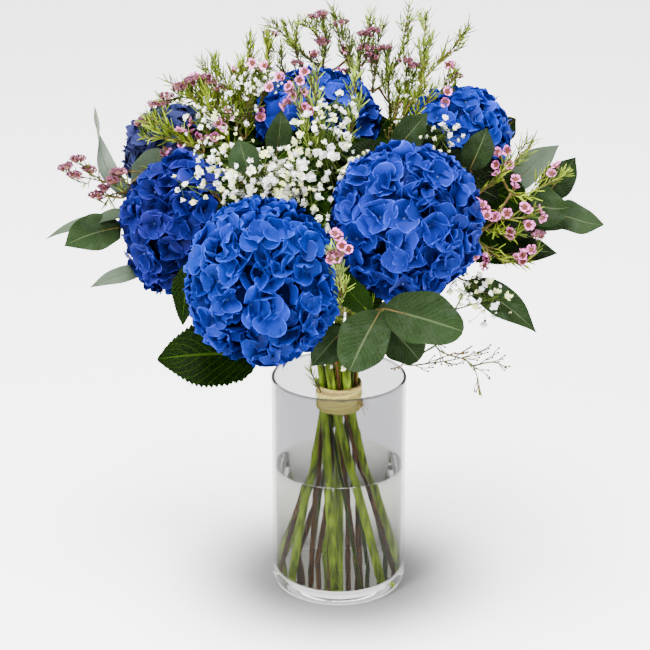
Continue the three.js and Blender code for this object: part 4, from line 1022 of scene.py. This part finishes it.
def needles(piece, paths, draw, spacing, length, finish, begin=0.15, girth=1.0):
    """Pairs of blunt needles along the paths, close to the twig, each pair turned from the last.
    Returns their number."""
    roots, axes, turns = [], [], []
    for path in paths:
        run = np.linalg.norm(np.diff(path, axis=0), axis=1).sum()
        pairs = max(int(run * (1 - begin) / spacing), 2)
        fine = resampled(path, 60)
        at = ((begin + (1 - begin) * (np.arange(pairs) + 0.8) / pairs) * 59).clip(0, 59).astype(int)
        roots.append(np.repeat(fine[at], 2, 0))
        axes.append(np.repeat(unit(np.gradient(fine, axis=0))[at], 2, 0))
        turns.append(np.arange(2 * pairs) % 2 * np.pi + np.repeat(np.arange(pairs) * 1.7, 2))
    roots, axes, turns = np.vstack(roots), np.vstack(axes), np.concatenate(turns)
    count = len(roots)
    out, _ = frames(axes, turns + draw.normal(0, 0.3, count))
    lean = 0.3 + 0.4 * draw.random((count, 1))
    way = unit(axes * (1 - lean * 0.6) + out * lean + [0, 0, 0.12])
    size = length * (0.65 + 0.5 * draw.random((count, 1, 1)))
    t = np.linspace(0, 1, 3)[None, :, None]
    paths = roots[:, None] + size * (t * way[:, None] + 0.14 * t ** 2 * axes[:, None])
    radii = np.broadcast_to(girth * np.array([0.45, 0.6, 0.3]), (count, 3))
    piece.add(rods(paths, radii, 3), rod_marks(count, 3, 3, draw.random(count)), finish)
    return count

# %% Waxflower finishes
def wax_petals(name, rosy, pale, base):
    """Waxy petals: pale at the edge, rosy inside and tan where they join the cup."""
    finish = Finish(name, {"Roughness": 0.45, "Specular IOR Level": 0.1})
    along, across, tone = finish.growth()
    blush = finish.mix(rosy, pale, (along.larger(across.size()) * 0.7 + tone * 0.5).band(0.35, 0.95))
    return finish.show("Base Color", finish.mix(blush, base, (1 - along.band(0.1, 0.45)) * 0.85))

pink_petal = wax_petals("waxflower_petals", rgb(194, 126, 172), rgb(228, 186, 216), rgb(188, 128, 110))
mauve_petal = wax_petals("waxflower_mauve", rgb(140, 88, 106), rgb(188, 142, 166), rgb(124, 82, 66))
rose_cup = Finish("waxflower_cups", {"Roughness": 0.4, "Specular IOR Level": 0.1})
along, across, tone = rose_cup.growth()
flush = rose_cup.mix(rgb(122, 118, 56), rgb(152, 96, 84), along.band(0.1, 0.6))
rose_cup.show("Base Color", rose_cup.mix(flush, rgb(140, 74, 56), along.band(0.7, 0.95)))

def needle_finish(name, dark, light, other):
    """Needles that differ in tone one by one and in hue from twig to twig."""
    finish = Finish(name, {"Roughness": 0.5, "Specular IOR Level": 0.08})
    along, across, tone = finish.growth()
    fresh = finish.mix(dark, light, (tone * 0.9 + along * 0.3).band(0.1, 1.1))
    return finish.show("Base Color", finish.mix(fresh, other, finish.noise(40).band(0.46, 0.66) * 0.65))

needle_green = needle_finish("waxflower_needles", rgb(90, 108, 46), rgb(204, 214, 122), rgb(134, 148, 104))
needle_gold = needle_finish("waxflower_young_needles", rgb(70, 94, 26), rgb(192, 202, 70), rgb(92, 116, 44))

# %% Cups
WAX_PETAL = {"petals": 5, "grid": (4, 4), "length": 3.0, "width": 2.15, "start": 1.9, "tilt": 30,
             "tilt_range": 14, "curl": 10, "curl_range": 30, "peak": 1.1, "blunt": 0.42, "fold": 0.4,
             "ripple": 0.3}

def stalks(piece, roots, middles, ends, radius, sides, tones):
    """Thin green stalks in four steps: (1-t)^2 root + 2t(1-t) middle + t^2 end."""
    t = np.linspace(0, 1, 4)[None, :, None]
    bend = ((1 - t) ** 2 * roots[:, None] + 2 * t * (1 - t) * middles[:, None]
            + t ** 2 * ends[:, None])
    count = len(roots)
    piece.add(rods(bend, np.full((count, 4), radius), sides), rod_marks(count, 4, sides, tones), thin_green)

def cups(piece, roots, centres, axes, draw, size=1.0, tilt=30, finish=pink_petal):
    """Five petals round a deep cup at each centre, and a stalk from its root."""
    count = len(centres)
    larger = {key: WAX_PETAL[key] * size for key in ("length", "width", "start")}
    tones = draw.random(count)
    grids, marks = petals(centres, axes, dict(WAX_PETAL, tilt=tilt, **larger), draw, tones)
    add_petals(piece, grids, marks, 0.3, finish)
    height = np.array([-4.4, -3.0, -1.2, 0.4, 0.3])
    paths = centres[:, None] + axes[:, None] * height[None, :, None] * size
    radii = np.broadcast_to(np.array([0.5, 1.3, 2.0, 2.2, 1.2]) * size, (count, 5))
    piece.add(rods(paths, radii, 8), rod_marks(count, 5, 8, tones), rose_cup)
    ends = centres - axes * 4.2 * size
    stalks(piece, roots, roots * 0.5 + ends * 0.5 - axes * 2, ends, 0.36, 4, tones)

def umbels(piece, centres, ways, draw, count=6, spread=6.0, size=0.66, drop=(0, 0, -11)):
    """Flat heads of small half-open cups; all stalks of a head leave one point that lies the drop
    below it, and a twig joins that point to the nearest way. Returns these twigs."""
    feet = np.asarray(centres, float) + drop
    starts = np.array([nearest(ways, foot + np.array(drop) * 0.55) for foot in feet])
    links = np.stack([starts, (starts + feet) / 2 - [0, 0, 1.5], feet], 1)
    paths = np.array([resampled(smooth_way(link), 8) for link in links])
    piece.add(rods(paths, np.full((len(paths), 8), 0.5), 5), rod_marks(len(paths), 8, 5, 0.5), olive_twig)
    centres = np.repeat(np.asarray(centres, float), count, 0)
    turn = np.arange(len(centres)) * GOLDEN_ANGLE
    reach = np.sqrt((np.arange(len(centres)) % count + 0.5) / count)
    out = np.stack([np.cos(turn) * reach, np.sin(turn) * reach, 0 * reach], -1)
    nudge = draw.normal(0, 0.5, centres.shape)
    places = centres + out * spread + np.outer(1 - reach, [0, 0, 2.5]) + nudge
    faces = unit(out * 0.8 + [0, -0.25, 1])
    cups(piece, centres + drop, places, faces, draw, size, 56, mauve_petal)
    return list(paths)

# %% Where the waxflower limbs and blooms are
# Each stem has its ring and place, its trunk's points, its limbs, and the spacing and length of its
# twigs and of its needles.
WAXFLOWER = {
    "left": ("outer", 4, [(-30, 52, 270), (-60, 80, 320), (-86, 86, 364), (-98, 74, 404)],
             [[(-128, 66, 384), (-166, 30, 366), (-194, 8, 374), (-222, -6, 384)],
              [(-178, 16, 364), (-194, 2, 366), (-206, -10, 364)],
              [(-118, 62, 430), (-136, 56, 438), (-152, 48, 436)],
              [(-106, 60, 430), (-110, 50, 456), (-116, 46, 468)],
              [(-104, 112, 408), (-122, 146, 424)],
              [(-112, 50, 400), (-122, 48, 430), (-128, 46, 446)],
              [(-84, 48, 412), (-92, 46, 440), (-103, 46, 464)],
              [(-125, 44, 400), (-148, 40, 412), (-166, 38, 424)],
              [(-70, 48, 430), (-64, 46, 462), (-60, 44, 494)],
              [(-90, 52, 428), (-84, 50, 450), (-76, 48, 488)],
              [(-118, 40, 392), (-136, 36, 404), (-160, 34, 408)],
              [(-96, 40, 398), (-108, 38, 424), (-118, 38, 448)],
              [(-88, 42, 412), (-88, 42, 440), (-84, 42, 468)],
              [(-82, 40, 404), (-78, 42, 438), (-70, 42, 460)]],
             (11, 22, 3.1, 11)),
    "top": ("inner", 1,
            [(10, 30, 272), (24, 62, 322), (34, 98, 384), (20, 112, 430), (2, 104, 474), (-6, 84, 512)],
            [[(-8, 108, 450), (-38, 92, 474), (-58, 72, 502)],
             [(-12, 104, 466), (-30, 80, 502)],
             [(22, 108, 456), (28, 82, 508)],
             [(36, 108, 434), (54, 100, 466), (61, 80, 514)],
             [(48, 104, 420), (72, 92, 448), (77, 82, 480)],
             [(-24, 106, 446), (-38, 88, 470), (-37, 84, 496)],
             [(-38, 104, 436), (-50, 86, 458), (-51, 84, 474)],
             [(10, 106, 440), (9, 90, 466), (9, 84, 488)],
             [(30, 100, 432), (34, 90, 466), (34, 84, 494)],
             [(46, 92, 410), (44, 84, 438), (42, 84, 470)],
             [(58, 92, 410), (58, 84, 432), (62, 86, 470)],
             [(68, 88, 410), (72, 84, 436), (76, 84, 506)],
             [(44, 90, 400), (52, 80, 430), (50, 82, 452)],
             [(-14, 104, 452), (-12, 86, 480), (-14, 84, 500)],
             [(18, 104, 440), (18, 88, 462), (20, 86, 484)]],
            (14, 20, 3.1, 9.5)),
    "right": ("inner", 0, [(26, -8, 268), (58, 0, 318), (84, -6, 352), (108, -20, 364)],
              [[(136, -16, 388), (162, -10, 412)],
               [(148, -22, 372), (188, -16, 386)],
               [(134, -34, 356), (160, -32, 356)],
               [(116, -38, 338), (154, -38, 314)],
               [(56, 20, 372), (52, 28, 410), (74, 40, 458), (98, 38, 486), (110, 26, 508)],
               [(62, 24, 402), (84, 34, 440), (100, 34, 462)],
               [(120, -30, 346), (148, -34, 338)]],
              (9, 20, 4.6, 9.5)),
    "front": ("inner", 4,
              [(-10, -14, 272), (-14, -18, 330), (-20, -16, 390), (-30, -4, 432), (-36, 4, 458)],
              [[(-4, -38, 270), (2, -72, 286), (0, -100, 314), (-3, -121, 362)],
               [(-18, -8, 404), (-20, 2, 440), (-20, 6, 470)],
               [(-8, -14, 396), (10, 0, 424), (12, 4, 474)]],
              (9, 17, 3.6, 10)),
}
OPEN_CUPS = {
    "front": [(-51, -5, 470), (-43, -5, 462), (-34, 0, 466), (-31, 2, 456), (-39, -1, 453), (-44, -2, 448),
              (-24, -7, 442), (-63, -3, 479), (-2, -128, 369), (1, -131, 362), (-8, -121, 348)],
    "left": [(-68, 29, 427), (-91, 48, 464), (-113, 48, 458), (-105, 75, 436), (-132, 90, 444),
             (-99, 97, 410), (-85, 62, 416), (-124, 50, 404), (-104, 76, 398), (-137, 42, 411),
             (-129, 51, 417), (-151, 41, 395), (-137, 42, 400), (-100, 30, 418), (-108, 34, 408)],
    "top": [(-16, 94, 480), (-24, 99, 466), (5, 103, 471), (25, 97, 471), (28, 96, 465), (55, 100, 424),
            (23, 107, 419), (6, 100, 452)],
    "right": [(97, 38, 470), (92, 22, 451), (141, -18, 410), (143, -16, 398), (133, -20, 390),
              (178, -27, 392), (148, -24, 380), (155, -41, 367), (141, -36, 360), (123, -31, 361),
              (130, -38, 357), (115, -24, 367), (158, -33, 349), (171, -33, 356), (166, -33, 340),
              (144, -34, 343), (156, -42, 328), (162, -42, 330), (115, -39, 324), (123, -39, 315),
              (150, -42, 323)],
}
UMBELS = {
    "left": [(-118, 50, 455), (-129, 48, 452), (-139, 48, 447), (-150, 46, 441), (-161, 44, 434),
             (-172, 42, 417), (-62, 46, 466), (-70, 46, 462), (-169, 48, 418), (-153, 46, 434),
             (-137, 46, 450), (-129, 44, 456), (-120, 44, 458), (-112, 44, 453), (-101, 44, 449)],
    "top": [(-20, 80, 504), (-14, 80, 506), (3, 80, 498), (-15, 80, 481), (-38, 80, 462), (22, 80, 488),
            (30, 80, 491), (23, 80, 476), (28, 80, 468), (41, 80, 476), (59, 80, 464), (66, 80, 460),
            (-60, 72, 490)],
    "right": [(99, 44, 459), (168, -38, 341)],
    "front": [(-4, -122, 352)],
}
FAR_UMBELS = [(-232, -8, 392), (-222, -8, 399), (-214, -4, 389), (-225, -10, 385), (-202, -2, 371),
              (-195, 0, 378), (-208, -6, 366), (-190, 4, 384)]

# %% Four waxflower stems
TWIG_TOP = 495
NO_NEEDLES_BEYOND = -168

for number, (name, (ring, slot, trunk, limbs, habit)) in enumerate(WAXFLOWER.items()):
    twig_spacing, twig_length, needle_spacing, needle_length = habit
    draw = np.random.default_rng(300 + number)
    piece = Piece(f"waxflower_{name}_sprays")
    ways = wood(piece, ring, slot, trunk, limbs, 2.1, olive_twig, brown_stem)
    grown = [ways[0][-14:], *ways[1:]]
    twigs = side_twigs(grown, draw, twig_spacing, twig_length, 0.42)
    twigs += side_twigs(twigs[::2], draw, twig_spacing * 1.3, twig_length * 0.45, 0.42)
    for twig in twigs:
        over = twig[:, 2] - TWIG_TOP
        twig[:, 2] = np.where(over > 0, TWIG_TOP + over * 0.4, twig[:, 2])
    paths = np.array([resampled(twig, 6) for twig in twigs])
    radii = np.broadcast_to(np.linspace(0.6, 0.35, 6), (len(twigs), 6))
    piece.add(rods(paths, radii, 4), rod_marks(len(twigs), 6, 4, 0.5), olive_twig)
    bare = [way for way in [*grown, *twigs] if way[-1, 0] > NO_NEEDLES_BEYOND]
    green = needle_gold if name in ("left", "right") else needle_green
    count = needles(piece, bare, draw, needle_spacing, needle_length, green)
    needles(piece, [ways[0][3:25]], draw, 30, 7, brown_stem, 0.0, 0.8)
    if name == "front":
        tuft = smooth_way([(-16, -17, 190), (-20, -20, 200), (-25, -22, 212)])
        piece.add(rods(resampled(tuft, 8)[None], np.full((1, 8), 0.7), 6),
                  rod_marks(1, 8, 6, 0.5), olive_twig)
        needles(piece, [tuft], draw, 2.4, 10, needle_green, 0.1, 1.0)
    links = umbels(piece, UMBELS[name], [*grown, *twigs], draw)
    if name == "left":
        links += umbels(piece, FAR_UMBELS, grown, draw, 5, 5.0, 0.9, (8, 3, -7))
    needles(piece, links, draw, 3.4, 7.5, green)
    centres = np.array(OPEN_CUPS[name], float)
    centres = np.vstack([centres, centres + draw.normal(0, 1, centres.shape) * [4.5, 2, 4.5]])
    roots = np.array([nearest(twigs, centre) for centre in centres])
    nudge = draw.normal(0, 0.3, centres.shape)
    faces = unit(unit(centres - roots) * 0.7 + [0, -0.6, 0.45] + nudge)
    cups(piece, roots, centres, faces, draw)
    print(name, "twigs:", len(twigs), "needles:", count)
    piece.make("waxflower", f"waxflower_{name}")

# %% [markdown]
# Gypsophila
#
# Gypsophila is a cloud of small double flowers on stalks as thin as thread. A cloud fills an
# ellipsoid near the end of a limb. Each flower has its stalk from the cloud's own twig, two rings of
# tiny petals and a green cup under them.

# %% Gypsophila finishes
cream_petal = Finish("gypsophila_petals", {"Roughness": 0.7, "Specular IOR Level": 0.1})
along, across, tone = cream_petal.growth()
cream = cream_petal.mix(rgb(196, 200, 150), rgb(250, 250, 240), along.band(0.0, 0.5))
cream_petal.show("Base Color", cream_petal.mix(cream, rgb(224, 226, 186), tone.band(0.4, 1.0) * 0.7))

# %% Small double blooms
DOUBLE = {"petals": 7, "grid": (3, 3), "length": 2.9, "width": 1.2, "tilt": 16, "tilt_range": 22,
          "curl": 30, "curl_range": 45, "peak": 1.3, "blunt": 0.36, "fold": 0.3, "ripple": 0.4}

def small_blooms(piece, roots, centres, draw, size):
    """Two rings of petals round a full middle at each centre, a green cup and a thread-like stalk
    from its root. Sizes go from a bud to an open flower."""
    count = len(centres)
    axes = unit(unit(centres - roots) + [0, -0.15, 0.35] + draw.normal(0, 0.25, (count, 3)))
    sizes = size * (0.5 + 0.75 * draw.random(count) ** 1.3)
    tones = draw.random(count)
    eyes = np.repeat(centres, DOUBLE["petals"], 0)[:, None, None]
    for tilt, scale in [(16, 1.0), (52, 0.86)]:
        grids, marks = petals(0 * centres, axes, dict(DOUBLE, tilt=tilt), draw, tones)
        scales = np.repeat(sizes * scale, DOUBLE["petals"])[:, None, None, None]
        add_petals(piece, grids * scales + eyes, marks, 0.25, cream_petal)
    paths, radii = beads(0 * centres, axes, 1.0, 0.75, 3)
    marks = rod_marks(count, 3, 5, tones, np.full(3, 0.5))
    for up, wide, finish in [(0.9, 1.75, cream_petal), (-0.7, 1.1, thin_green)]:
        bead = (paths * wide + axes[:, None] * up) * sizes[:, None, None]
        piece.add(rods(centres[:, None] + bead, radii * wide * sizes[:, None], 5), marks, finish)
    ends = centres - axes * 1.4 * sizes[:, None]
    stalks(piece, roots, roots * 0.45 + ends * 0.55 - [0, 0, 1.5], ends, 0.28, 3, tones)

# %% Where the clouds are
# Each stem has its ring and place, its trunk's points, its limbs, and its clouds: middle, half sizes,
# number of flowers and their size.
GYPSOPHILA = {
    "left": ("outer", 8, [(-42, -10, 262), (-78, -14, 306), (-92, -20, 352)],
             [[(-100, -30, 376)], [(-78, -28, 380)]],
             [((-122, -46, 386), (24, 18, 18), 10, 1.5), ((-70, -46, 396), (42, 20, 26), 100, 1.46),
              ((-96, -16, 408), (34, 16, 16), 36, 0.95), ((-60, -50, 386), (28, 14, 12), 50, 1.44)]),
    "middle": ("inner", 5, [(4, -16, 272), (4, -22, 330), (-2, -26, 376), (-8, -28, 396)],
               [[(34, 12, 376), (46, 20, 414), (58, 26, 440)], [(78, 0, 408)]],
               [((-12, -30, 410), (27, 18, 44), 88, 1.42), ((-42, -50, 392), (24, 16, 20), 44, 1.45),
                ((-4, -8, 442), (24, 14, 18), 24, 1.3), ((60, 30, 454), (16, 12, 14), 12, 0.8),
                ((86, -8, 420), (20, 10, 16), 20, 1.1), ((20, -44, 400), (16, 8, 14), 10, 1.0),
                ((-20, -58, 376), (15, 9, 15), 16, 1.3), ((-13, -72, 362), (7, 5, 11), 6, 1.1)]),
    "top": ("inner", 2, [(-14, 30, 270), (-44, 50, 322), (-74, 48, 372), (-86, 38, 412)],
            [[(-76, 32, 440)], [(-66, 84, 384), (-70, 108, 396)]],
            [((-116, 34, 420), (20, 14, 16), 14, 0.9), ((-70, 30, 459), (20, 14, 14), 46, 0.9),
             ((-96, 30, 430), (30, 16, 16), 26, 0.95), ((-72, 122, 404), (20, 18, 18), 22, 1.1)]),
    "right": ("outer", 12, [(40, -34, 250), (72, -46, 266), (98, -52, 280)],
              [[(84, -58, 246), (112, -60, 234), (122, -62, 204)], [(12, -42, 236)],
               [(56, -60, 233), (84, -62, 236), (104, -62, 240), (124, -62, 248)],
               [(112, -60, 232), (130, -62, 236), (142, -62, 232)]],
              [((122, -58, 290), (22, 12, 20), 26, 1.3), ((108, -50, 300), (16, 8, 18), 20, 1.2),
               ((0, -48, 228), (14, 6, 6), 6, 0.9)]),
}

# %% Four stems with clouds of flowers
for number, (name, (ring, slot, trunk, limbs, clouds)) in enumerate(GYPSOPHILA.items()):
    draw = np.random.default_rng(500 + number)
    piece = Piece(f"gypsophila_{name}_clouds")
    ways = wood(piece, ring, slot, trunk, limbs, 1.6, thin_green, thin_green)
    bare = side_twigs(ways[1:], draw, 8, 20, 0.5, 0.1)
    bare += side_twigs(bare, draw, 6, 9, 0.5, 0.1)
    fine = np.array([resampled(twig, 6) for twig in bare])
    radii = np.broadcast_to(np.linspace(0.5, 0.35, 6), fine.shape[:2])
    piece.add(rods(fine, radii, 4), rod_marks(len(fine), 6, 4, 0.5), olive_twig)
    paths, radii = beads(fine[:, -1], unit(fine[:, -1] - fine[:, -2]), 0.95, 1.2)
    piece.add(rods(paths, radii, 5), rod_marks(len(fine), 4, 5, 0.5), olive_twig)
    for middle, half, count, size in clouds:
        middle, half = np.array(middle, float), np.array(half, float)
        start = nearest(ways, middle)
        away = unit(middle - start)
        path = clear_of_heads(smooth_way([start, middle, middle + away * half * 0.6], 8))
        piece.add(rods(resampled(path, 12)[None], np.linspace(0.8, 0.4, 12)[None], 5),
                  rod_marks(1, 12, 5, 0.5), thin_green)
        share = 0.4 + 0.7 * draw.random((count, 1)) ** 0.7
        centres = clear_of_heads(middle + golden_directions(count, 1.9, away) * half * share, 4.5)
        at = (len(path) * (0.3 + 0.65 * draw.random(count))).astype(int).clip(0, len(path) - 1)
        small_blooms(piece, path[at], centres, draw, size)
    piece.make("gypsophila", f"gypsophila_{name}")

# %% [markdown]
# Raffia
#
# The tie is a strip of dried palm leaf wound a few times round the sheaf. A strip is a blade that
# follows a circle, slightly tilted and rippled, with the next turn lying a little over it. Fine long
# fibres run round the tie, and some strips have split into threads at the knot.

# %% Raffia finish
straw = Finish("raffia_straw", {"Roughness": 0.72, "Specular IOR Level": 0.25})
along, across, tone = straw.growth()
fibre = straw.noise(1.0, 3.0, where=straw.vector(along * 14, across * 9, tone * 31))
colour = straw.mix(rgb(184, 142, 100), rgb(255, 222, 184), (fibre + (tone - 0.5) * 0.8).band(0.26, 0.78))
# Painted shade: each strip is darker along both its edges, where one turn lies over the next.
straw.show("Base Color", straw.mix(colour, rgb(92, 68, 38), across.size().band(0.76, 0.98) * 0.85))
straw.bump(fibre, 0.0005, 0.8)

# %% Wound strips
TIE_RADIUS = 19.4

# Each strip has its height from the tie's middle, its width, its tilt and its tone.
STRIPS = [(8.4, 7.0, 0.9, 0.42), (2.8, 7.0, -1.0, 0.55), (-2.8, 7.0, 1.3, 0.7), (-7.4, 5.0, -0.8, 0.85),
          (10.2, 3.4, -0.6, 0.6), (5.2, 3.2, 2.0, 0.7), (-0.4, 2.8, -2.2, 0.9), (-5.4, 2.6, 1.8, 1.1)]

tie = Piece("raffia_tie_strips")
draw = np.random.default_rng(700)
around = np.linspace(0, 2 * np.pi, 121)
t = np.linspace(-1, 1, 5)[None]
for number, (height, width, tilt, tone) in enumerate(STRIPS):
    turn = (around + number)[:, None]
    swell = 0.3 * np.sin(3 * turn + number) + 0.12 * np.sin(9 * turn)
    radius = TIE_RADIUS + 0.07 * height + 0.14 * number + swell - 0.4 * t ** 2
    uneven = 1 + 0.14 * np.sin(4 * turn + number)
    z = TIE_HEIGHT + height + tilt * np.cos(turn) + t * width / 2 * uneven
    grid = np.stack([radius * np.cos(turn), radius * np.sin(turn), z + 0 * radius], -1)
    marks = np.stack(np.broadcast_arrays(turn / 2, t, tone), -1)
    add_petals(tie, grid[None], marks[None], 0.3, straw)

# %% Twisted strands, knot and frayed ends
def strand(path, radius, tone, steps, fall=1.0):
    """Two threads wound round a path: each is the path plus radius times a unit vector that turns."""
    path = resampled(np.asarray(path, float), steps)
    axis = unit(np.gradient(path, axis=0))
    marks = rod_marks(1, steps, 5, tone, np.linspace(0, 4, steps))
    for half_turn in (0, np.pi):
        out, _ = frames(axis, np.linspace(0, steps * 0.42, steps) + half_turn)
        girth = np.linspace(radius * 0.75, radius * 0.75 * fall, steps)
        thread = path + out * (girth * 0.7)[:, None]
        tie.add(rods(thread[None], girth[None], 5), marks, straw)

for height, radius, tilt, size in [(-9.6, 19.7, 0.9, 0.7), (-11.0, 19.3, -1.1, 0.55),
                                   (-8.0, 20.0, -1.5, 0.45), (0.6, 20.9, 1.6, 0.38)]:
    turn = around + height
    ring = np.stack([(radius + 0.2 * np.sin(5 * turn)) * np.cos(turn),
                     (radius + 0.2 * np.sin(4 * turn)) * np.sin(turn),
                     TIE_HEIGHT + height + tilt * np.sin(turn * 2) * 0.5 + tilt * np.cos(turn)], -1)
    strand(ring, size, 0.6 + 0.5 * draw.random(), 110)
knot = np.array([18.6, -10.6, 176.5])
loop = np.linspace(0, 2 * np.pi, 22)
for number in range(3):
    first, second = frames(unit(np.array([0.8, -0.5, 0.5 * (number - 1)])), np.array(float(number)))
    ring = knot + 2.7 * np.cos(loop)[:, None] * first + 1.9 * np.sin(loop)[:, None] * second
    strand(ring + np.outer(np.sin(loop * 2), [0.6, -0.4, 0.3]), 0.9, 0.6, 26)
for tail in [(8, -5, 9), (9, -3, 2), (5, -5, -10), (8, 0, -7), (10, -4, -2), (3, -6, -6)]:
    way = smooth_way([knot, knot + np.array(tail) * 0.5 + [0, 0, 1.5], knot + np.array(tail)])
    strand(way, 0.3 + 0.25 * draw.random(), 0.3 + 0.6 * draw.random(), 16, 0.3)
tie.make("raffia", "raffia_tie")
